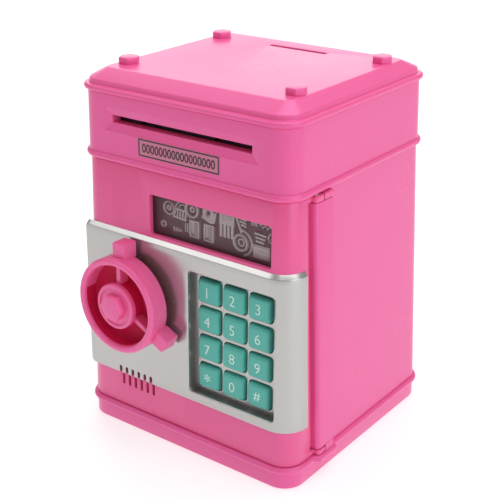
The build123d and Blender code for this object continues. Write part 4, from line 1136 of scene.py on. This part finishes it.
def hoop(centre, outer, inner, height=1.1, start=0.0, end=360.0, base=0.0):
    # a ring, or a stretch of one, with a rounded crest
    global reliefCount
    reliefCount += 1
    whole = end - start >= 359.9
    steps = max(int(abs(end - start) / 7.5), 4)
    low = window["reliefH"] + base
    middle, half = (outer + inner) / 2, (outer - inner) / 2
    rise = [(1, None), (1, 0.55), (0.6, 0.9), (0, 1), (-0.6, 0.9), (-1, 0.55), (-1, None)]
    profile = [(middle + half * across, low - 0.1 if up is None else low + height * up)
               for across, up in rise]
    verts = []
    count = steps if whole else steps + 1
    for i in range(count):
        for r, h in profile:
            dx, dy = polar(r, start + (end - start) * i / steps)
            verts.append(doorPoint(centre[0] + dx, centre[1] + dy, h))
    size = len(profile)
    faces = []
    for i in range(steps):
        a, b = i * size, ((i + 1) % count) * size
        faces += [(a + j, a + (j + 1) % size, b + (j + 1) % size, b + j) for j in range(size)]
    if not whole:
        faces += [tuple(range(size)), tuple(reversed(range((count - 1) * size, count * size)))]
    piece = newPiece("relief" + str(reliefCount), verts, faces, materials["reliefSilver"], "door",
                     sharpAngle=50)
    return piece


def louvreCard(centre, size, slats):
    # an outlined card with slanted slats
    width, height = size
    for sx in (-1, 1):
        bar((centre[0] + sx * width / 2, centre[1]), (0.8, height), 0, 1.2)
    for sy in (-1, 1):
        bar((centre[0], centre[1] + sy * height / 2), (width + 0.8, 0.8), 0, 1.2)
    bar((centre[0] - width * 0.28, centre[1] + 0.3), (width * 0.3, height - 1.6), 0, 0.6)
    for i in range(slats):
        y = centre[1] - height / 2 + height * (i + 1) / (slats + 1)
        bar((centre[0] + width * 0.12, y), (width * 0.62, 0.75), -14, 1.0)


hoop(windowSpot(0.30, 0.77), 4.3, 3.0, 1.3)
hoop(windowSpot(0.30, 0.77), 1.6, 0.6, 0.5)
hoop(windowSpot(0.225, 0.66), 5.4, 4.6, 0.7, 60, 165)
hoop(windowSpot(0.225, 0.66), 3.8, 3.0, 0.6, 60, 165)
trapX, trapS = windowSpot(0.205, 0.60)
bar((trapX, trapS + 2.1), (6.2, 0.8), -4, 1.2)
bar((trapX - 0.5, trapS - 2.3), (8.2, 0.9), -4, 1.2)
for i in range(5):
    bar((trapX - 3.4 + i * 1.65, trapS - 0.1), (0.75, 4.2), -8 if i else -24, 1.0)
louvreCard(windowSpot(0.325, 0.31), (5.2, 7.6), 5)
louvreCard(windowSpot(0.447, 0.31), (5.2, 7.6), 5)
camX, camS = windowSpot(0.44, 0.80)
hoop((camX, camS), 3.6, 1.1, 1.3)
camTail = ((-3.4, -1.2), (-4.2, -3.0), (0.5, -4.9), (3.6, -4.6), (4.8, 1.6), (3.3, -0.6))
raised([(camX + x, camS + y) for x, y in camTail], 0.8)
combX, combS = windowSpot(0.592, 0.84)
bar((combX, combS - 0.6), (8.6, 7.2), 0, 1.0)
for i in range(3):
    bar((combX + 1.9, combS + 1.6 - i * 1.35), (3.2, 0.55), 0, 0.35, 0.95)
bar((combX - 2.6, combS + 0.2), (1.6, 4.4), 0, 0.35, 0.95)
for i in range(4):
    bar((combX - 3.2 + i * 2.15, combS - 7.2), (1.35, 6.4), 0, 1.1 - 0.05 * i)
fanX, fanS = windowSpot(0.725, 0.86)
for i in range(4):
    bar((fanX - 1.2 + i * 0.5, fanS + 1.9 - i * 1.5), (5.6 - i * 0.9, 0.85), -10, 1.0)
bar((fanX - 2.6, fanS - 2.8), (1.0, 8.0), 24, 0.8)
ringSpot = windowSpot(0.705, 0.30)
hoop(ringSpot, 4.4, 3.2, 1.5)
hoop(ringSpot, 2.1, 1.2, 0.5)
hoop(ringSpot, 6.8, 5.6, 0.8, -70, 95)
stripX, stripS = windowSpot(0.83, 0.88)
for i in range(3):
    bar((stripX - 2.4 + i * 1.2, stripS), (0.7, 3.4), 0, 1.0)
for i in range(5):
    bar((stripX + 2.2 + i * 1.35, stripS - 0.3 - (i % 2) * 1.0), (1.5, 0.9), 38 if i % 2 else -38, 0.9)
for i in range(3):
    bar(windowSpot(0.86, 0.62 - i * 0.085), (6.6 - i, 0.9), -4, 0.9 + 0.1 * i)
hoop(windowSpot(0.955, 0.60), 2.7, 1.8, 1.1)
hoop(windowSpot(0.955, 0.60), 0.9, 0.3, 0.7)
boxX, boxS = windowSpot(0.87, 0.20)
bar((boxX, boxS), (9.4, 6.4), 0, 0.8)
for i in range(3):
    bar((boxX + 1.4 * (i > 0), boxS + 2.2 - i * 1.9), (8.0 - 3.0 * (i > 0), 0.7), 0, 0.4, 0.75)
bar(windowSpot(0.972, 0.16), (2.2, 4.6), 0, 1.0)
hoop(windowSpot(0.05, 0.22), 1.9, 0.8, 0.8)
for i in range(4):
    bar(windowSpot(0.145 + 0.02 * i, 0.17), (0.7, 2.6 - 0.4 * i), 16, 0.7)
for i in range(3):
    bar(windowSpot(0.245 + 0.018 * i, 0.28), (0.6, 4.4), 0, 0.7)
hoop(windowSpot(0.10, 0.66), 3.6, 2.7, 0.9)
hoop(windowSpot(0.10, 0.66), 1.5, 0.5, 0.7)
print("window relief built:", reliefCount, "raised shapes")

# ---- handwheel

wheel = {
    "centre": door["wheel"], "radius": 24.35, "bore": 20.6, "rear": 5.7, "face": 16.5, "floor": 7.7,
    "hub": 11.0, "cap": 11.55, "capBase": 13.9, "capFace": 16.8, "capDish": 0.7, "hex": 6.9, "hexFace": 19.7,
    "spokeWidth": 2.4, "spokeFace": 13.3, "lugRadius": 27.4, "lug": (8.4, 7.6), "lugH": (3.9, 12.7),
    "angles": (90, -28),
}
w = wheel
radius, bore, hub, face, floorH = w["radius"], w["bore"], w["hub"], w["face"], w["floor"]
rimProfile = [(8.6, 3.65), (9.0, 4.0), (9.0, w["rear"])]
rimProfile += [(radius - 0.6, w["rear"]), (radius - 0.15, w["rear"] + 0.2), (radius, w["rear"] + 0.6)]
rimProfile += arcProfile((radius - 1.5, face - 1.5), 1.5, 0, 80, 8)
rimProfile += [(radius - 2.2, face - 0.05), (bore + 0.95, face - 0.25), (bore + 0.55, face - 0.5)]
rimProfile += [(bore + 0.1, face - 1.3), (bore, face - 1.8), (bore, floorH + 0.8)]
rimProfile += arcProfile((bore - 0.8, floorH + 0.8), 0.8, 0, -90, 5)[1:]
rimProfile += [(hub + 0.8, floorH), (hub + 0.25, floorH + 0.2), (hub, floorH + 0.8), (hub, w["capBase"])]
handwheel = lathe("handwheel", w["centre"], rimProfile, materials["wheelPink"], "handwheel", steps=144,
                  sharpAngle=28)
# The hollow between hub and rim is coloured a darker pink: painted shade in the hollow
handwheel.data.materials.append(materials["wheelHollowShade"])
for polygon in handwheel.data.polygons:
    spot = polygon.center / mm
    dx, dz = spot.x - w["centre"][0], (spot.z - casing["baseBead"]) / leanCos - w["centre"][1]
    reach, height = math.hypot(dx, dz), -(spot.y + lowerHalf(spot.z)[1])
    if hub - 0.1 < reach < bore + 0.06 and height < face - 2.0:
        polygon.material_index = 1
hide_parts("handwheel")


def wheelPoint(turn):
    # a face frame turned about the wheel's axis: x outward along the spoke, y across it
    cosTurn, sinTurn = polar(1, turn)
    centreX, centreS = w["centre"]

    def place(x, y, h):
        return doorPoint(centreX + x * cosTurn - y * sinTurn, centreS + x * sinTurn + y * cosTurn, h)
    return place


for index, turn in enumerate(w["angles"]):
    at = wheelPoint(turn)
    length = bore - hub + 1.6
    middle = (bore + hub) / 2
    spoke = faceBlock("wheelSpoke" + str(index + 1), (middle, 0), (length, w["spokeWidth"]), 0.1,
                      (w["floor"] - 0.5, w["spokeFace"]), materials["wheelPink"], "handwheel", at, edge=0.35)
    lug = faceBlock("wheelLug" + str(index + 1), (w["lugRadius"], 0), w["lug"], 0.8, w["lugH"],
                    materials["wheelPink"], None, at, smooth=False)
    softenEdges(lug, 0.45, 50, 3)
    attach(lug, "handwheel")

capEdge, capFace = w["cap"], w["capFace"]
dishEdge, dishFloor = capEdge - 2.1, capFace - w["capDish"]
capProfile = [(capEdge, w["capBase"] + 0.05), (capEdge, capFace - 0.95)]
capProfile += arcProfile((capEdge - 0.9, capFace - 0.9), 0.9, 0, 90, 6)
capProfile += [(dishEdge + 0.3, capFace), (dishEdge + 0.08, capFace - 0.1), (dishEdge, capFace - 0.3)]
capProfile += [(dishEdge - 0.05, dishFloor + 0.15), (dishEdge - 0.2, dishFloor)]
hubCap = lathe("wheelHubCap", w["centre"], capProfile, materials["wheelPink"], "handwheel", steps=96,
               sharpAngle=28)
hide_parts("wheel_hub_cap")
hubHex = hexBoss("wheelHexHead", w["centre"], w["hex"], dishFloor - 0.3, w["hexFace"], 0.6,
                 materials["wheelPink"], "handwheel", doorPoint)
print("handwheel built")
